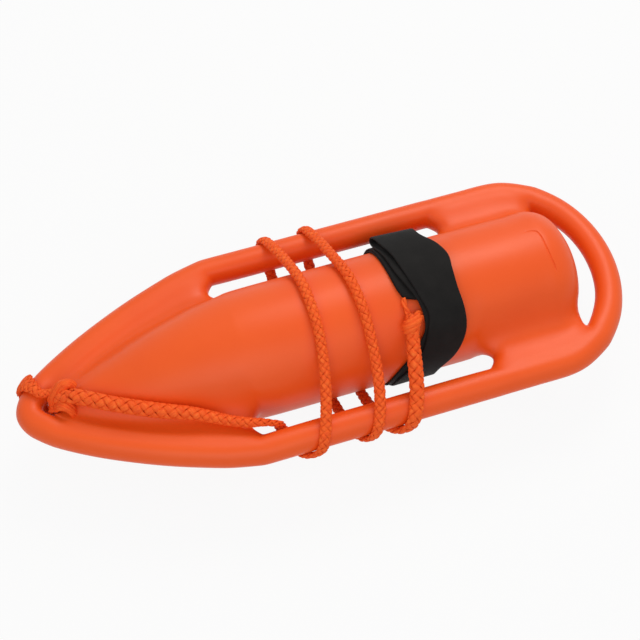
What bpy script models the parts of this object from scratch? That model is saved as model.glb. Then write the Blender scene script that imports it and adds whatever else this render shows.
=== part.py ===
"""Moulded torpedo rescue buoy with its wound tow rope and webbing sling.

Metres, +Z up. The nose points to -X and the hand loop to +X. The pieces are laid out from
the can's front end on its own axis, and stood on the surface by one shared offset.
"""
import math

import bmesh
import bpy
import numpy as np
from mathutils import Vector

# Moulded can, seen from above
CAN_LENGTH = 0.7056
RAIL_SPREAD = 0.1185
RAIL_RADIUS = 0.0165
NOSE_LENGTH = 0.2503
NOSE_BLUNTNESS = 0.0384
SHOULDER_EASE = 0.0477
TAIL_ARC_DEPTH = 0.0977
NOSE_HOLE_X = 0.0405
NOSE_HOLE_RADIUS = 0.0105
SLOT_FRONT_X = 0.2423
SLOT_REAR_X = 0.5225
HAND_LOOP_REACH = 0.0686
SLOT_CORNER = 0.009
LOOP_THINNING = 0.0012
LOOP_THIN_STATIONS = (2.35, 2.8)

# Hull and webs
HULL_RADIUS = 0.074
HULL_NOSE_X = 0.026
HULL_FULL_X = 0.272
HULL_NOSE_FULLNESS = 1.65
STERN_TO_TAIL = 0.0528
STERN_DEPTH = 0.040
WEB_HALF_THICKNESS = 0.0150
RAIL_FILLET = 0.006
HULL_FILLET = 0.0015
HULL_FILLET_RISE = 1.45
HULL_FILLET_LIMIT = 0.7
HULL_SOFTNESS = 6
HULL_CORNER_SHARE = 1.6
RAIL_TOP_DEGREES = (120, 106)
WALL = 0.0035

# Where the can's surface is held: stations of the nose, shares of webs, slots and the stern dome
NOSE_STATIONS = (0.0, 0.07, 0.13, 0.19, 0.235)
HOLE_EDGE_DEGREES = 74
HOLE_RIM_DEGREES = 80
RIM_HEIGHT = 0.8
NOSE_WEB_SHARES = (0.06, 0.21, 0.40, 0.59, 0.78)
SLOT_SHARES = (0.16, 0.38, 0.62, 0.84)
STERN_WEB_SHARES = (0.37, 0.73)
WEB_END_SHARE = 0.1965
WEB_RIM_SHARES = (0.5, 0.7)
TAIL_CORNER_SHARE = 0.2
WEB_DIP_SHARE = 0.10
STERN_RING_SHARES = (0.158, 0.045)
STERN_CENTRE_SHARE = 0.42

# Filler opening under the stern
FILLER_TO_STERN = 0.0736
FILLER_HOLE_RADIUS = 0.008
FILLER_BOSS_RADIUS = 0.016
FILLER_BOSS_DEPTH = 0.009
PLUG_HEAD_RADIUS = 0.0125
PLUG_HEAD_THICKNESS = 0.0022
PLUG_SHANK_LENGTH = 0.010
PLUG_SLOT_WIDTH = 0.0024
PLUG_SLOT_DEPTH = 0.0012
PLUG_EDGE_EASE = 0.0006
PLUG_NOSE_EASE = 0.0015
TURNED_SEGMENTS = 32
CUT_PAST = 0.010

# Rope
ROPE_RADIUS = 0.0060
RAIL_ROPE_RADIUS = 0.0036
RAIL_TAIL_ROPE_RADIUS = 0.0046
RAIL_PRESS_X = (0.236, 0.262)
SPLICE_RADIUS = 0.0088
TAIL_SPLICE_RADIUS = 0.0076
KNOT_RADIUS = 0.0105
KNOT_HALF_LENGTH = 0.0125
KNOT_SETBACK = 0.014
THROAT_LENGTH = 0.020
TAIL_STRAND_RADIUS = 0.0024
ROPE_FLAT = 0.0012
EYE_STATION = 0.12
EYE_SLANT = 0.045
EYE_ROPE_RADIUS = 0.0042
EYE_HALF_STEP_DEGREES = 20
EYE_DEGREES = (78, 108, 140, 180, 220, 260, 300, 335, 362)
EYE_LEG_RISE = 0.0070

# Webbing sling
WEBBING_WIDTH = 0.050
WEBBING_THICKNESS = 0.0019
PLY_GAP = 0.0005
LAYER_GAP = 0.0006
STRAP_FLAT = 0.0005

# Fits
GAP = 0.0003
FOAM_CLEARANCE = 0.0009

SHELL_ORANGE = (0.83, 0.10, 0.02, 1.0)
ROPE_ORANGE = (0.86, 0.13, 0.02, 1.0)
FOAM_CREAM = (0.80, 0.72, 0.50, 1.0)
PLUG_BLACK = (0.03, 0.03, 0.03, 1.0)
WEBBING_BLACK = (0.012, 0.011, 0.010, 1.0)

# Winding: where the rope crosses the can, run by run, as x at each wheel of its belt.
# A run goes from under the near rail, round it, over the hull, round the far rail and back.
ARC_STEPS = 4
RUN_X = (
    {"under": 0.2890, "near": 0.3045, "near_top": 0.3125, "hull_near": 0.3345, "hull_far": 0.3350,
     "far_top": 0.3235, "far": 0.3200, "far_under": 0.3215, "belly_far": 0.3290, "belly_near": 0.3440},
    {"under": 0.3555, "near": 0.3660, "near_top": 0.3742, "hull_near": 0.3885, "hull_far": 0.3840,
     "far_top": 0.3735, "far": 0.3700, "far_under": 0.3700, "belly_far": 0.3725, "belly_near": 0.3790},
    {"under": 0.3935, "near": 0.4070, "near_top": 0.4160, "hull_near": 0.4380},
)

# Nose run of the rope, from the splice's throat to the front corner of the near slot: x, share of
# the way out to the rope's line inside the near rail, and height over what it lies on
NOSE_RUN = (
    (0.0660, 0.086, 0.0042), (0.0815, 0.186, 0.0030), (0.1009, 0.305, 0.0026),
    (0.1204, 0.409, 0.0030), (0.1400, 0.504, 0.0038), (0.1597, 0.591, 0.0060),
    (0.1797, 0.669, 0.0062), (0.1996, 0.755, 0.0033), (0.2192, 0.850, 0.0020),
    (0.2389, 0.925, 0.0015), (0.2520, 0.962, 0.0008), (0.2620, 0.986, -0.0040),
    (0.2690, 0.996, -0.0105),
)
SPLICE_END_X = 0.155
SPLICE_TAPER_END_X = 0.225
DIVE_X = 0.272
DIVE_STEPS = 4
DIVE_START_ANGLE = 0.12
HULL_RUN_BOW = 0.0012

# Sling: angle from the crown towards the far side in degrees, x of its middle, how far it hangs
# down to the floor (0 to 1), and how far it lies on the layer below it (1 is just clear of it)
STRAP_ROUTE = (
    (-26, 0.4640, 0.0, 0.0), (0, 0.4548, 0.0, 0.0), (30, 0.4518, 0.0, 0.0), (60, 0.4490, 0.0, 0.0),
    (90, 0.4450, 0.0, 0.0), (125, 0.4400, 0.0, 0.0), (155, 0.4360, 0.55, 0.0), (180, 0.4335, 1.0, 0.0),
    (205, 0.4325, 0.55, 0.0), (235, 0.4335, 0.0, 0.0), (255, 0.4365, 0.0, 0.0), (270, 0.4430, 0.0, 0.0),
    (285, 0.4560, 0.0, 0.0), (300, 0.4660, 0.0, 0.35), (315, 0.4720, 0.0, 0.95), (330, 0.4720, 0.0, 1.0),
    (350, 0.4700, 0.0, 1.0), (370, 0.4670, 0.0, 1.0), (390, 0.4625, 0.0, 1.0), (402, 0.4600, 0.0, 1.0),
)
STRAP_STEP_DEGREES = 9.0
FOLD_SLANT_DEGREES = 8.0
FOLD_SLANT_REACH_DEGREES = 45.0
BIGHT_RISE = 0.0040
BIGHT_REACH_DEGREES = 14.0
BIGHT_OPENING_DEGREES = 60.0
SPLAY = 0.0035

# Thin strand from the sling's knot into its fold: x, angle from the crown, height over the hull
TAIL_STRAND_RUN = ((0.4360, -33.9, 0.0049), (0.4345, -27.9, 0.0052), (0.4340, -22.1, 0.0046))


# Derived places
MIDDLE_X = CAN_LENGTH/2
STERN_X = CAN_LENGTH - STERN_TO_TAIL
TAIL_SLOT_FRONT_X = CAN_LENGTH - HAND_LOOP_REACH
WEB_END_REACH = WEB_END_SHARE*(TAIL_SLOT_FRONT_X - SLOT_REAR_X)
FILLER_X = STERN_X - FILLER_TO_STERN
HULL_BELT_RADIUS = HULL_RADIUS + GAP + ROPE_RADIUS
RAIL_BELT_RADIUS = RAIL_RADIUS + GAP + RAIL_ROPE_RADIUS
BELT_ANGLE = math.asin((HULL_BELT_RADIUS - RAIL_BELT_RADIUS)/RAIL_SPREAD)
HULL_ARC_HALF_STEP = BELT_ANGLE/ARC_STEPS
RAIL_ARC_HALF_STEP = (math.pi - 2*BELT_ANGLE)/2/ARC_STEPS
HULL_WINDING_RADIUS = HULL_BELT_RADIUS/math.cos(HULL_ARC_HALF_STEP)
RAIL_WINDING_RADIUS = RAIL_BELT_RADIUS/math.cos(RAIL_ARC_HALF_STEP)
AXIS_HEIGHT = HULL_WINDING_RADIUS + ROPE_RADIUS*math.cos(math.pi/6) - ROPE_FLAT
TAIL_START_X = CAN_LENGTH - RAIL_RADIUS - TAIL_ARC_DEPTH
PLUG_SHANK_RADIUS = FILLER_HOLE_RADIUS - GAP
BAND_THICKNESS = 2*WEBBING_THICKNESS + PLY_GAP
BAND_RADIUS = (HULL_RADIUS + LAYER_GAP)/math.cos(math.radians(STRAP_STEP_DEGREES/2))
STRAP_SAG = AXIS_HEIGHT + STRAP_FLAT - BAND_RADIUS - BAND_THICKNESS
STRAP_LAYER_LIFT = BAND_THICKNESS + 3*LAYER_GAP


def clear_scene():
    for item in list(bpy.data.objects):
        bpy.data.objects.remove(item, do_unlink=True)


def make_material(name, colour, roughness, metallic=0.0):
    material = bpy.data.materials.new(name)
    material.use_nodes = True
    shader = material.node_tree.nodes["Principled BSDF"]
    shader.inputs["Base Color"].default_value = colour
    shader.inputs["Roughness"].default_value = roughness
    shader.inputs["Metallic"].default_value = metallic
    material.diffuse_color = colour
    return material


def place(item, material=None, cutter=False):
    """Stands an object, laid out on the can's own axis, on the surface."""
    item.location = (-MIDDLE_X, 0.0, AXIS_HEIGHT)
    if material is not None:
        item.data.materials.append(material)
    if cutter:
        item.hide_render = True
        item.display_type = "WIRE"
    return item


def add_mesh(name, vertices, faces):
    mesh = bpy.data.meshes.new(name)
    mesh.from_pydata([tuple(v) for v in vertices], [], faces)
    mesh.validate()
    mesh.update()
    item = bpy.data.objects.new(name, mesh)
    bpy.context.scene.collection.objects.link(item)
    return item


def add_boolean(item, other, operation):
    modifier = item.modifiers.new(operation.lower(), "BOOLEAN")
    modifier.operation = operation
    modifier.object = other
    modifier.solver = "EXACT"
    return modifier


# The can's plan

def rail_point(s):
    """Rail centreline and outward normal in plan: 0 to 1 the nose, to 2 the side, to 3 the tail."""
    if s <= 1.0:
        nodes = (Vector((RAIL_RADIUS, 0.0)), Vector((RAIL_RADIUS, NOSE_BLUNTNESS)),
                 Vector((NOSE_LENGTH - SHOULDER_EASE, RAIL_SPREAD)), Vector((NOSE_LENGTH, RAIL_SPREAD)))
        u = 1.0 - s
        point = u**3*nodes[0] + 3*s*u*u*nodes[1] + 3*s*s*u*nodes[2] + s**3*nodes[3]
        slope = u*u*(nodes[1] - nodes[0]) + 2*s*u*(nodes[2] - nodes[1]) + s*s*(nodes[3] - nodes[2])
        slope.normalize()
        return point, Vector((-slope.y, slope.x))
    if s <= 2.0:
        x = NOSE_LENGTH + (s - 1.0)*(TAIL_START_X - NOSE_LENGTH)
        return Vector((x, RAIL_SPREAD)), Vector((0.0, 1.0))
    turn = (s - 2.0)*math.pi/2
    point = Vector((TAIL_START_X + TAIL_ARC_DEPTH*math.sin(turn), RAIL_SPREAD*math.cos(turn)))
    normal = Vector((math.sin(turn)/TAIL_ARC_DEPTH, math.cos(turn)/RAIL_SPREAD))
    return point, normal.normalized()


def station_at(x, inset):
    """The station whose point, inset from the rail's centreline, lies at x."""
    low, high = 0.2, 2.9
    for _ in range(40):
        middle = (low + high)/2
        point, normal = rail_point(middle)
        if (point - inset*normal).x < x:
            low = middle
        else:
            high = middle
    return (low + high)/2


def hull_radius(x):
    if x < HULL_FULL_X:
        share = (x - HULL_NOSE_X)/(HULL_FULL_X - HULL_NOSE_X)
        return HULL_RADIUS*(1 - (1 - share)**HULL_NOSE_FULLNESS)
    start = STERN_X - STERN_DEPTH
    if x > start:
        return HULL_RADIUS*math.sqrt(max(0.0, 1 - ((x - start)/STERN_DEPTH)**2))
    return HULL_RADIUS


# The can's surface, as points that it passes through in one quarter of the can

def rail_ring(s, height=0.0):
    """Outer edge, outer top, inner top and inner joint of the rail at a station."""
    point, normal = rail_point(s)
    thinning = loop_thinning(s)
    radius = RAIL_RADIUS - thinning
    low, high = RAIL_TOP_DEGREES
    turn = math.radians(low + (high - low)*height/WEB_HALF_THICKNESS)
    rows = [(radius, 0.0)]
    for angle in (math.radians(60), turn):
        rows.append((radius*math.cos(angle), radius*math.sin(angle)))
    rows.append((thinning - joint_inset(height), height))
    return [Vector((point.x + (out + thinning)*normal.x, point.y + (out + thinning)*normal.y, z))
            for out, z in rows]


def loop_thinning(s):
    """How much less the hand loop's radius is than the rails', with its outer edge kept."""
    share = min(1.0, max(0.0, (s - LOOP_THIN_STATIONS[0])/(LOOP_THIN_STATIONS[1] - LOOP_THIN_STATIONS[0])))
    return LOOP_THINNING*share*share*(3 - 2*share)


def joint_inset(height):
    return math.sqrt(RAIL_RADIUS**2 - height**2) + RAIL_FILLET*height/WEB_HALF_THICKNESS


def hull_ring(x, height=0.0):
    """Side joint, two flank points and crown of the hull at x, raised softly onto a web's height."""
    radius = hull_radius(x)
    first = math.asin(min(HULL_FILLET_LIMIT, HULL_FILLET_RISE*height/radius))
    ring = []
    for step in range(4):
        angle = first + (math.pi/2 - first)*step/3
        rise = radius*math.sin(angle)
        top = (rise**HULL_SOFTNESS + height**HULL_SOFTNESS)**(1/HULL_SOFTNESS)
        ring.append(Vector((x, radius*math.cos(angle), top)))
    ring[0].y += HULL_FILLET*height/WEB_HALF_THICKNESS
    ring[3].y = 0.0
    return ring


def web_end(x, direction):
    """Columns of a web's rounded end at x, from its edge inwards: place, shift of the corners, height."""
    reach = WEB_HALF_THICKNESS
    back, across = WEB_RIM_SHARES
    return ((x, SLOT_CORNER*direction, 0.0),
            (x - back*direction*reach, across*SLOT_CORNER*direction, RIM_HEIGHT*reach),
            (x - WEB_END_REACH*direction, 0.0, reach))


def hole_point(radius, degrees, height=0.0):
    """A point round the nose hole; it lies exactly on the middle plane at 0 and 180 degrees."""
    turn = math.radians(degrees)
    across = 0.0 if degrees in (0, 180) else radius*math.sin(turn)
    return Vector((NOSE_HOLE_X + radius*math.cos(turn), across, height))


def quarter_columns():
    """Columns of the quarter: [rail ring, web point or None, hull ring or None, web to the next]."""
    columns = []
    # round the front of the nose hole
    for station, degrees in zip(NOSE_STATIONS, (180, 150, 120, 90)):
        ring = rail_ring(station)
        ring[3] = hole_point(NOSE_HOLE_RADIUS, degrees)
        if station == 0.0:
            for point in ring:
                point.y = 0.0
        columns.append([ring, None, None, False])
    # rear half of the hole's edge, and its rounded rim
    edge = [hole_point(NOSE_HOLE_RADIUS, HOLE_EDGE_DEGREES*(4 - i)/4) for i in range(5)]
    columns[3] = [columns[3][0], edge[0], edge[1:], True]
    rim_radius = NOSE_HOLE_RADIUS + WEB_HALF_THICKNESS/3
    rim_height = RIM_HEIGHT*WEB_HALF_THICKNESS
    rim = [hole_point(rim_radius, HOLE_RIM_DEGREES*(5 - i)/5, rim_height) for i in range(6)]
    ring = rail_ring(NOSE_STATIONS[4])
    ring[3] = rim[0]
    columns.append([ring, rim[1], rim[2:], True])
    # nose web
    start = NOSE_HOLE_X + rim_radius
    for share in NOSE_WEB_SHARES:
        columns.append(web_column(start + share*(SLOT_FRONT_X - start), 0.0, WEB_HALF_THICKNESS))
    for x, shift, height in reversed(web_end(SLOT_FRONT_X, 1)):
        columns.append(web_column(x, shift, height))
    columns[-1][3] = False
    # side slot
    for share in SLOT_SHARES:
        column = web_column(SLOT_FRONT_X + share*(SLOT_REAR_X - SLOT_FRONT_X), 0.0, 0.0)
        columns.append([column[0], None, column[2], False])
    # stern web
    for x, shift, height in web_end(SLOT_REAR_X, -1):
        columns.append(web_column(x, shift, height))
    start = SLOT_REAR_X + WEB_END_REACH
    end = TAIL_SLOT_FRONT_X - WEB_END_REACH
    for share in STERN_WEB_SHARES:
        columns.append(web_column(start + share*(end - start), 0.0, WEB_HALF_THICKNESS))
    for x, shift, height in reversed(web_end(TAIL_SLOT_FRONT_X, 1)):
        columns.append(web_column(x, TAIL_CORNER_SHARE*shift, height))
    columns[-1][3] = False
    # hand loop
    first = station_at(TAIL_SLOT_FRONT_X, RAIL_RADIUS)
    for step in (1, 2, 3, 4):
        ring = rail_ring(first + (3.0 - first)*step/4)
        if step == 4:
            for point in ring:
                point.y = 0.0
        columns.append([ring, None, None, False])
    return columns


def web_column(x, shift, height):
    """A column that crosses rail, web and hull near x."""
    station = station_at(x + shift, joint_inset(height))
    rail = rail_ring(station, height)
    hull = hull_ring(x + HULL_CORNER_SHARE*shift, height)
    web = (rail[3] + hull[0])/2
    web.x = x
    web.z = height*(1 - WEB_DIP_SHARE)
    return [rail, web, hull, True]


def stern_rings():
    return [hull_ring(STERN_X - share*STERN_DEPTH) for share in STERN_RING_SHARES]


class CanSurface:
    """All-quad closed surface of the can: the points that it passes through, and its faces."""

    def __init__(self):
        self.points = []
        self.keys = {}
        self.faces = []

    def index(self, point):
        key = tuple(round(value*1e6) for value in point)
        if key not in self.keys:
            self.keys[key] = len(self.points)
            self.points.append(np.array(point, float))
        return self.keys[key]

    def quad(self, corners, mirrored=True):
        """Adds a face of the quarter, and its images in the two middle planes."""
        signs = ((1, 1), (-1, 1), (1, -1), (-1, -1)) if mirrored else ((1, 1),)
        for side, level in signs:
            face = [self.index((p[0], side*p[1], level*p[2])) for p in corners]
            if side*level > 0:
                face = [face[0]] + face[:0:-1]
            self.faces.append(face)

    def build(self):
        columns = quarter_columns()
        for here, ahead in zip(columns, columns[1:]):
            for row in range(3):
                self.quad((here[0][row], ahead[0][row], ahead[0][row + 1], here[0][row + 1]))
            if here[3] and ahead[1] is not None:
                self.quad((here[0][3], ahead[0][3], ahead[1], here[1]))
                self.quad((here[1], ahead[1], ahead[2][0], here[2][0]))
            if here[2] is not None and ahead[2] is not None:
                for row in range(3):
                    self.quad((here[2][row], ahead[2][row], ahead[2][row + 1], here[2][row + 1]))
        last = [column[2] for column in columns if column[2] is not None][-1]
        rings = [last] + stern_rings()
        for here, ahead in zip(rings, rings[1:]):
            for row in range(3):
                self.quad((here[row], ahead[row], ahead[row + 1], here[row + 1]))
        self.close_stern(rings[-1])
        return self

    def close_stern(self, ring):
        """Nine faces that close the hull's last ring."""
        inner = STERN_CENTRE_SHARE*hull_radius(ring[0].x)
        side = Vector((STERN_X, inner, 0.0))
        crown = Vector((STERN_X, 0.0, inner))
        self.quad((ring[1], side, crown, ring[2]))
        for sign in (1, -1):
            a = Vector((ring[1].x, sign*ring[1].y, ring[1].z))
            b = Vector((ring[0].x, sign*ring[0].y, 0.0))
            c = Vector((ring[1].x, sign*ring[1].y, -ring[1].z))
            d = Vector((STERN_X, sign*inner, 0.0))
            face = [a, b, c, d] if sign > 0 else [d, c, b, a]
            self.quad(face, mirrored=False)
            a = Vector((ring[2].x, ring[2].y, sign*ring[2].z))
            b = Vector((ring[3].x, 0.0, sign*ring[3].z))
            c = Vector((ring[2].x, -ring[2].y, sign*ring[2].z))
            d = Vector((STERN_X, 0.0, sign*inner))
            face = [d, c, b, a] if sign > 0 else [a, b, c, d]
            self.quad(face, mirrored=False)
        centre = [Vector((STERN_X, inner, 0.0)), Vector((STERN_X, 0.0, -inner)),
                  Vector((STERN_X, -inner, 0.0)), Vector((STERN_X, 0.0, inner))]
        self.quad(centre, mirrored=False)

    def triangles(self):
        """The faces split in two, so that every inset of the surface is split alike."""
        return [half for a, b, c, d in self.faces for half in ((a, b, c), (a, c, d))]

    def inset(self, *depths):
        """The surface's points moved inward by one depth after another, and its triangles."""
        points = np.array(self.points)
        triangles = self.triangles()
        for depth in depths:
            normals = np.zeros_like(points)
            for face in triangles:
                a, b, c = points[list(face)]
                normal = np.cross(b - a, c - a)
                normals[list(face)] += normal/np.linalg.norm(normal)
            points = points - depth*normals/np.linalg.norm(normals, axis=1)[:, None]
        return points, triangles

    def control_points(self):
        """Control points whose smooth subdivision passes through the points."""
        count = len(self.points)
        weights = np.zeros((count, count))
        edges = [set() for _ in range(count)]
        for face in self.faces:
            for corner in range(4):
                here = face[corner]
                edges[here].update((face[corner - 1], face[(corner + 1) % 4]))
                weights[here, face[(corner + 2) % 4]] += 1
        for here in range(count):
            valence = len(edges[here])
            weights[here, here] += valence*valence
            for other in edges[here]:
                weights[here, other] += 4
            weights[here] /= valence*(valence + 5)
        return np.linalg.solve(weights, np.array(self.points))


def make_can(surface, materials):
    """The one-piece moulding: smooth outside, hollow inside, open at the filler hole."""
    can = add_mesh("can_shell", surface.control_points(), surface.faces)
    smooth = can.modifiers.new("smooth", "SUBSURF")
    smooth.levels = 1
    smooth.render_levels = 1
    smooth.quality = 3
    can.data.shade_smooth()
    place(can, materials["shell"])

    cavity = add_mesh("cavity_cutter", *surface.inset(WALL))
    place(cavity, cutter=True)
    add_boolean(cavity, add_filler_cutter("boss_cutter", FILLER_BOSS_RADIUS, -CUT_PAST, FILLER_BOSS_DEPTH),
                "DIFFERENCE")
    add_boolean(can, cavity, "DIFFERENCE")
    head_seat = add_filler_cutter("head_seat_cutter", PLUG_HEAD_RADIUS + GAP, -CUT_PAST, filler_seat_depth())
    add_boolean(can, head_seat, "DIFFERENCE")
    top = FILLER_BOSS_DEPTH + CUT_PAST
    hole = add_filler_cutter("filler_hole_cutter", FILLER_HOLE_RADIUS, -CUT_PAST, top)
    add_boolean(can, hole, "DIFFERENCE")
    return can


def filler_seat_depth():
    """Depth of the plug head's seat above the hull's lowest line, so that the head lies flush."""
    drop = HULL_RADIUS - math.sqrt(HULL_RADIUS**2 - (PLUG_HEAD_RADIUS + GAP)**2)
    return drop + PLUG_HEAD_THICKNESS + GAP


def add_filler_cutter(name, radius, bottom, top):
    """An upright cylinder at the filler, between heights measured from the hull's lowest line."""
    builder = bmesh.new()
    bmesh.ops.create_cone(builder, cap_ends=True, segments=TURNED_SEGMENTS, radius1=radius, radius2=radius,
                          depth=top - bottom)
    centre = Vector((FILLER_X, 0.0, -HULL_RADIUS + (bottom + top)/2))
    bmesh.ops.translate(builder, verts=builder.verts, vec=centre)
    mesh = bpy.data.meshes.new(name)
    builder.to_mesh(mesh)
    builder.free()
    item = bpy.data.objects.new(name, mesh)
    bpy.context.scene.collection.objects.link(item)
    return place(item, cutter=True)


def make_foam(surface, materials):
    """The buoyant foam that fills the moulding, cut clear of the filler boss."""
    foam = add_mesh("foam_core", *surface.inset(WALL, FOAM_CLEARANCE))
    place(foam, materials["foam"])
    radius = FILLER_BOSS_RADIUS + FOAM_CLEARANCE
    depth = FILLER_BOSS_DEPTH + FOAM_CLEARANCE
    add_boolean(foam, add_filler_cutter("foam_boss_cutter", radius, -CUT_PAST, depth), "DIFFERENCE")
    shank_top = filler_seat_depth() - GAP + PLUG_SHANK_LENGTH + FOAM_CLEARANCE
    shank = PLUG_SHANK_RADIUS + FOAM_CLEARANCE
    add_boolean(foam, add_filler_cutter("foam_shank_cutter", shank, -CUT_PAST, shank_top), "DIFFERENCE")
    return foam


def make_plug(materials):
    """Turned plug: a flush head with a coin slot, and a shank with a rounded nose."""
    seat = filler_seat_depth() - GAP
    bottom = seat - PLUG_HEAD_THICKNESS
    top = seat + PLUG_SHANK_LENGTH
    profile = ((0.0, top), (PLUG_SHANK_RADIUS - PLUG_NOSE_EASE, top),
               (PLUG_SHANK_RADIUS, top - PLUG_NOSE_EASE), (PLUG_SHANK_RADIUS, seat),
               (PLUG_HEAD_RADIUS, seat), (PLUG_HEAD_RADIUS, bottom + PLUG_EDGE_EASE),
               (PLUG_HEAD_RADIUS - PLUG_EDGE_EASE, bottom), (0.0, bottom))
    builder = bmesh.new()
    ring = [builder.verts.new((radius, 0.0, height)) for radius, height in profile]
    edges = [builder.edges.new(pair) for pair in zip(ring, ring[1:])]
    bmesh.ops.spin(builder, geom=ring + edges, cent=(0, 0, 0), axis=(0, 0, 1), angle=2*math.pi,
                   steps=TURNED_SEGMENTS, use_duplicate=False)
    bmesh.ops.remove_doubles(builder, verts=builder.verts, dist=1e-6)
    bmesh.ops.recalc_face_normals(builder, faces=builder.faces)
    bmesh.ops.translate(builder, verts=builder.verts, vec=(FILLER_X, 0.0, -HULL_RADIUS))
    mesh = bpy.data.meshes.new("filler_plug")
    builder.to_mesh(mesh)
    builder.free()
    plug = bpy.data.objects.new("filler_plug", mesh)
    bpy.context.scene.collection.objects.link(plug)
    place(plug, materials["plug"])
    slot = bmesh.new()
    bmesh.ops.create_cube(slot, size=1.0)
    length = 1.5*PLUG_HEAD_RADIUS
    bmesh.ops.scale(slot, verts=slot.verts, vec=(length, PLUG_SLOT_WIDTH, 2*PLUG_SLOT_DEPTH))
    bmesh.ops.translate(slot, verts=slot.verts, vec=(FILLER_X, 0.0, -HULL_RADIUS + bottom))
    mesh = bpy.data.meshes.new("coin_slot_cutter")
    slot.to_mesh(mesh)
    slot.free()
    cutter = bpy.data.objects.new("coin_slot_cutter", mesh)
    bpy.context.scene.collection.objects.link(cutter)
    place(cutter, cutter=True)
    add_boolean(plug, cutter, "DIFFERENCE")
    return plug


# Rope

def belt_points(wheel_y, radius, start, end):
    """Points of one wheel's arc in the cross plane, at even steps."""
    return [(wheel_y + radius*math.cos(start + (end - start)*i/ARC_STEPS),
             radius*math.sin(start + (end - start)*i/ARC_STEPS)) for i in range(ARC_STEPS + 1)]


def blend_between(values, count):
    """Even steps from the first value to the last."""
    first, last = values
    return [first + (last - first)*i/count for i in range(count + 1)]


def run_points(run, next_under=None):
    """One turn of the winding with its radii, from under the near rail; the last stops on the hull."""
    top = math.pi/2 + BELT_ANGLE
    pressed = RAIL_TAIL_ROPE_RADIUS if next_under is None else RAIL_ROPE_RADIUS
    between = (RAIL_ROPE_RADIUS + ROPE_RADIUS)/2
    reach = RAIL_WINDING_RADIUS + pressed - RAIL_ROPE_RADIUS
    near = belt_points(-RAIL_SPREAD, reach, 2*math.pi - top, top)
    half = ARC_STEPS//2
    xs = blend_between((run["under"], run["near"]), half)[:-1]
    xs += blend_between((run["near"], run["near_top"]), half)
    points = [Vector((x, y, z)) for x, (y, z) in zip(xs, near)]
    radii = [pressed]*len(points)
    if next_under is None:
        return points, radii
    hull = belt_points(0.0, HULL_WINDING_RADIUS, top, math.pi - top)
    xs = blend_between((run["hull_near"], run["hull_far"]), ARC_STEPS)
    points.append(middle_point(points[-1], Vector((xs[0], *hull[0]))))
    points += [Vector((x + HULL_RUN_BOW*math.sin(math.pi*i/ARC_STEPS), y, z))
               for i, (x, (y, z)) in enumerate(zip(xs, hull))]
    radii += [between] + [ROPE_RADIUS]*len(hull)
    far = belt_points(RAIL_SPREAD, RAIL_WINDING_RADIUS, math.pi - top, top - math.pi)
    xs = blend_between((run["far_top"], run["far"]), half)[:-1]
    xs += blend_between((run["far"], run["far_under"]), half)
    points.append(middle_point(points[-1], Vector((xs[0], *far[0]))))
    points += [Vector((x, y, z)) for x, (y, z) in zip(xs, far)]
    radii += [between] + [RAIL_ROPE_RADIUS]*len(far)
    belly = belt_points(0.0, HULL_WINDING_RADIUS, top - math.pi, -top)
    xs = blend_between((run["belly_far"], run["belly_near"]), ARC_STEPS)
    points.append(middle_point(points[-1], Vector((xs[0], *belly[0]))))
    points += [Vector((x, y, z)) for x, (y, z) in zip(xs, belly)]
    points.append(middle_point(points[-1], Vector((next_under, *near[0]))))
    radii += [between] + [ROPE_RADIUS]*len(belly) + [between]
    return points, radii


def middle_point(first, last):
    return (first + last)/2


def strap_knot_place():
    """Centre of the knot at the sling, and the rope's direction into it."""
    last = RUN_X[-1]
    near_top = run_points(last)[0][-1]
    angle = math.pi/2 + BELT_ANGLE
    outward = Vector((0.0, math.cos(angle), math.sin(angle)))
    along = Vector((last["hull_near"], 0.0, 0.0))
    touch = along + outward*(HULL_WINDING_RADIUS + TAIL_SPLICE_RADIUS - ROPE_RADIUS)
    direction = (touch - near_top).normalized()
    return touch + outward*(KNOT_RADIUS - TAIL_SPLICE_RADIUS) - direction*KNOT_SETBACK, direction


def nose_run():
    """The rope's points and radii along the nose, laid on the hull and the web."""
    points = []
    radii = []
    for x, share, lift in NOSE_RUN:
        taper = min(1.0, max(0.0, (x - SPLICE_END_X)/(SPLICE_TAPER_END_X - SPLICE_END_X)))
        radius = SPLICE_RADIUS + (ROPE_RADIUS - SPLICE_RADIUS)*taper
        press = min(1.0, max(0.0, (x - RAIL_PRESS_X[0])/(RAIL_PRESS_X[1] - RAIL_PRESS_X[0])))
        radius += (RAIL_ROPE_RADIUS - ROPE_RADIUS)*press
        y = -share*(RAIL_SPREAD - RAIL_BELT_RADIUS)
        over_hull = math.sqrt(max(0.0, (hull_radius(x) + radius)**2 - y*y))
        points.append(Vector((x, y, max(over_hull, WEB_HALF_THICKNESS + radius) + lift)))
        radii.append(radius)
    return points, radii


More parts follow.
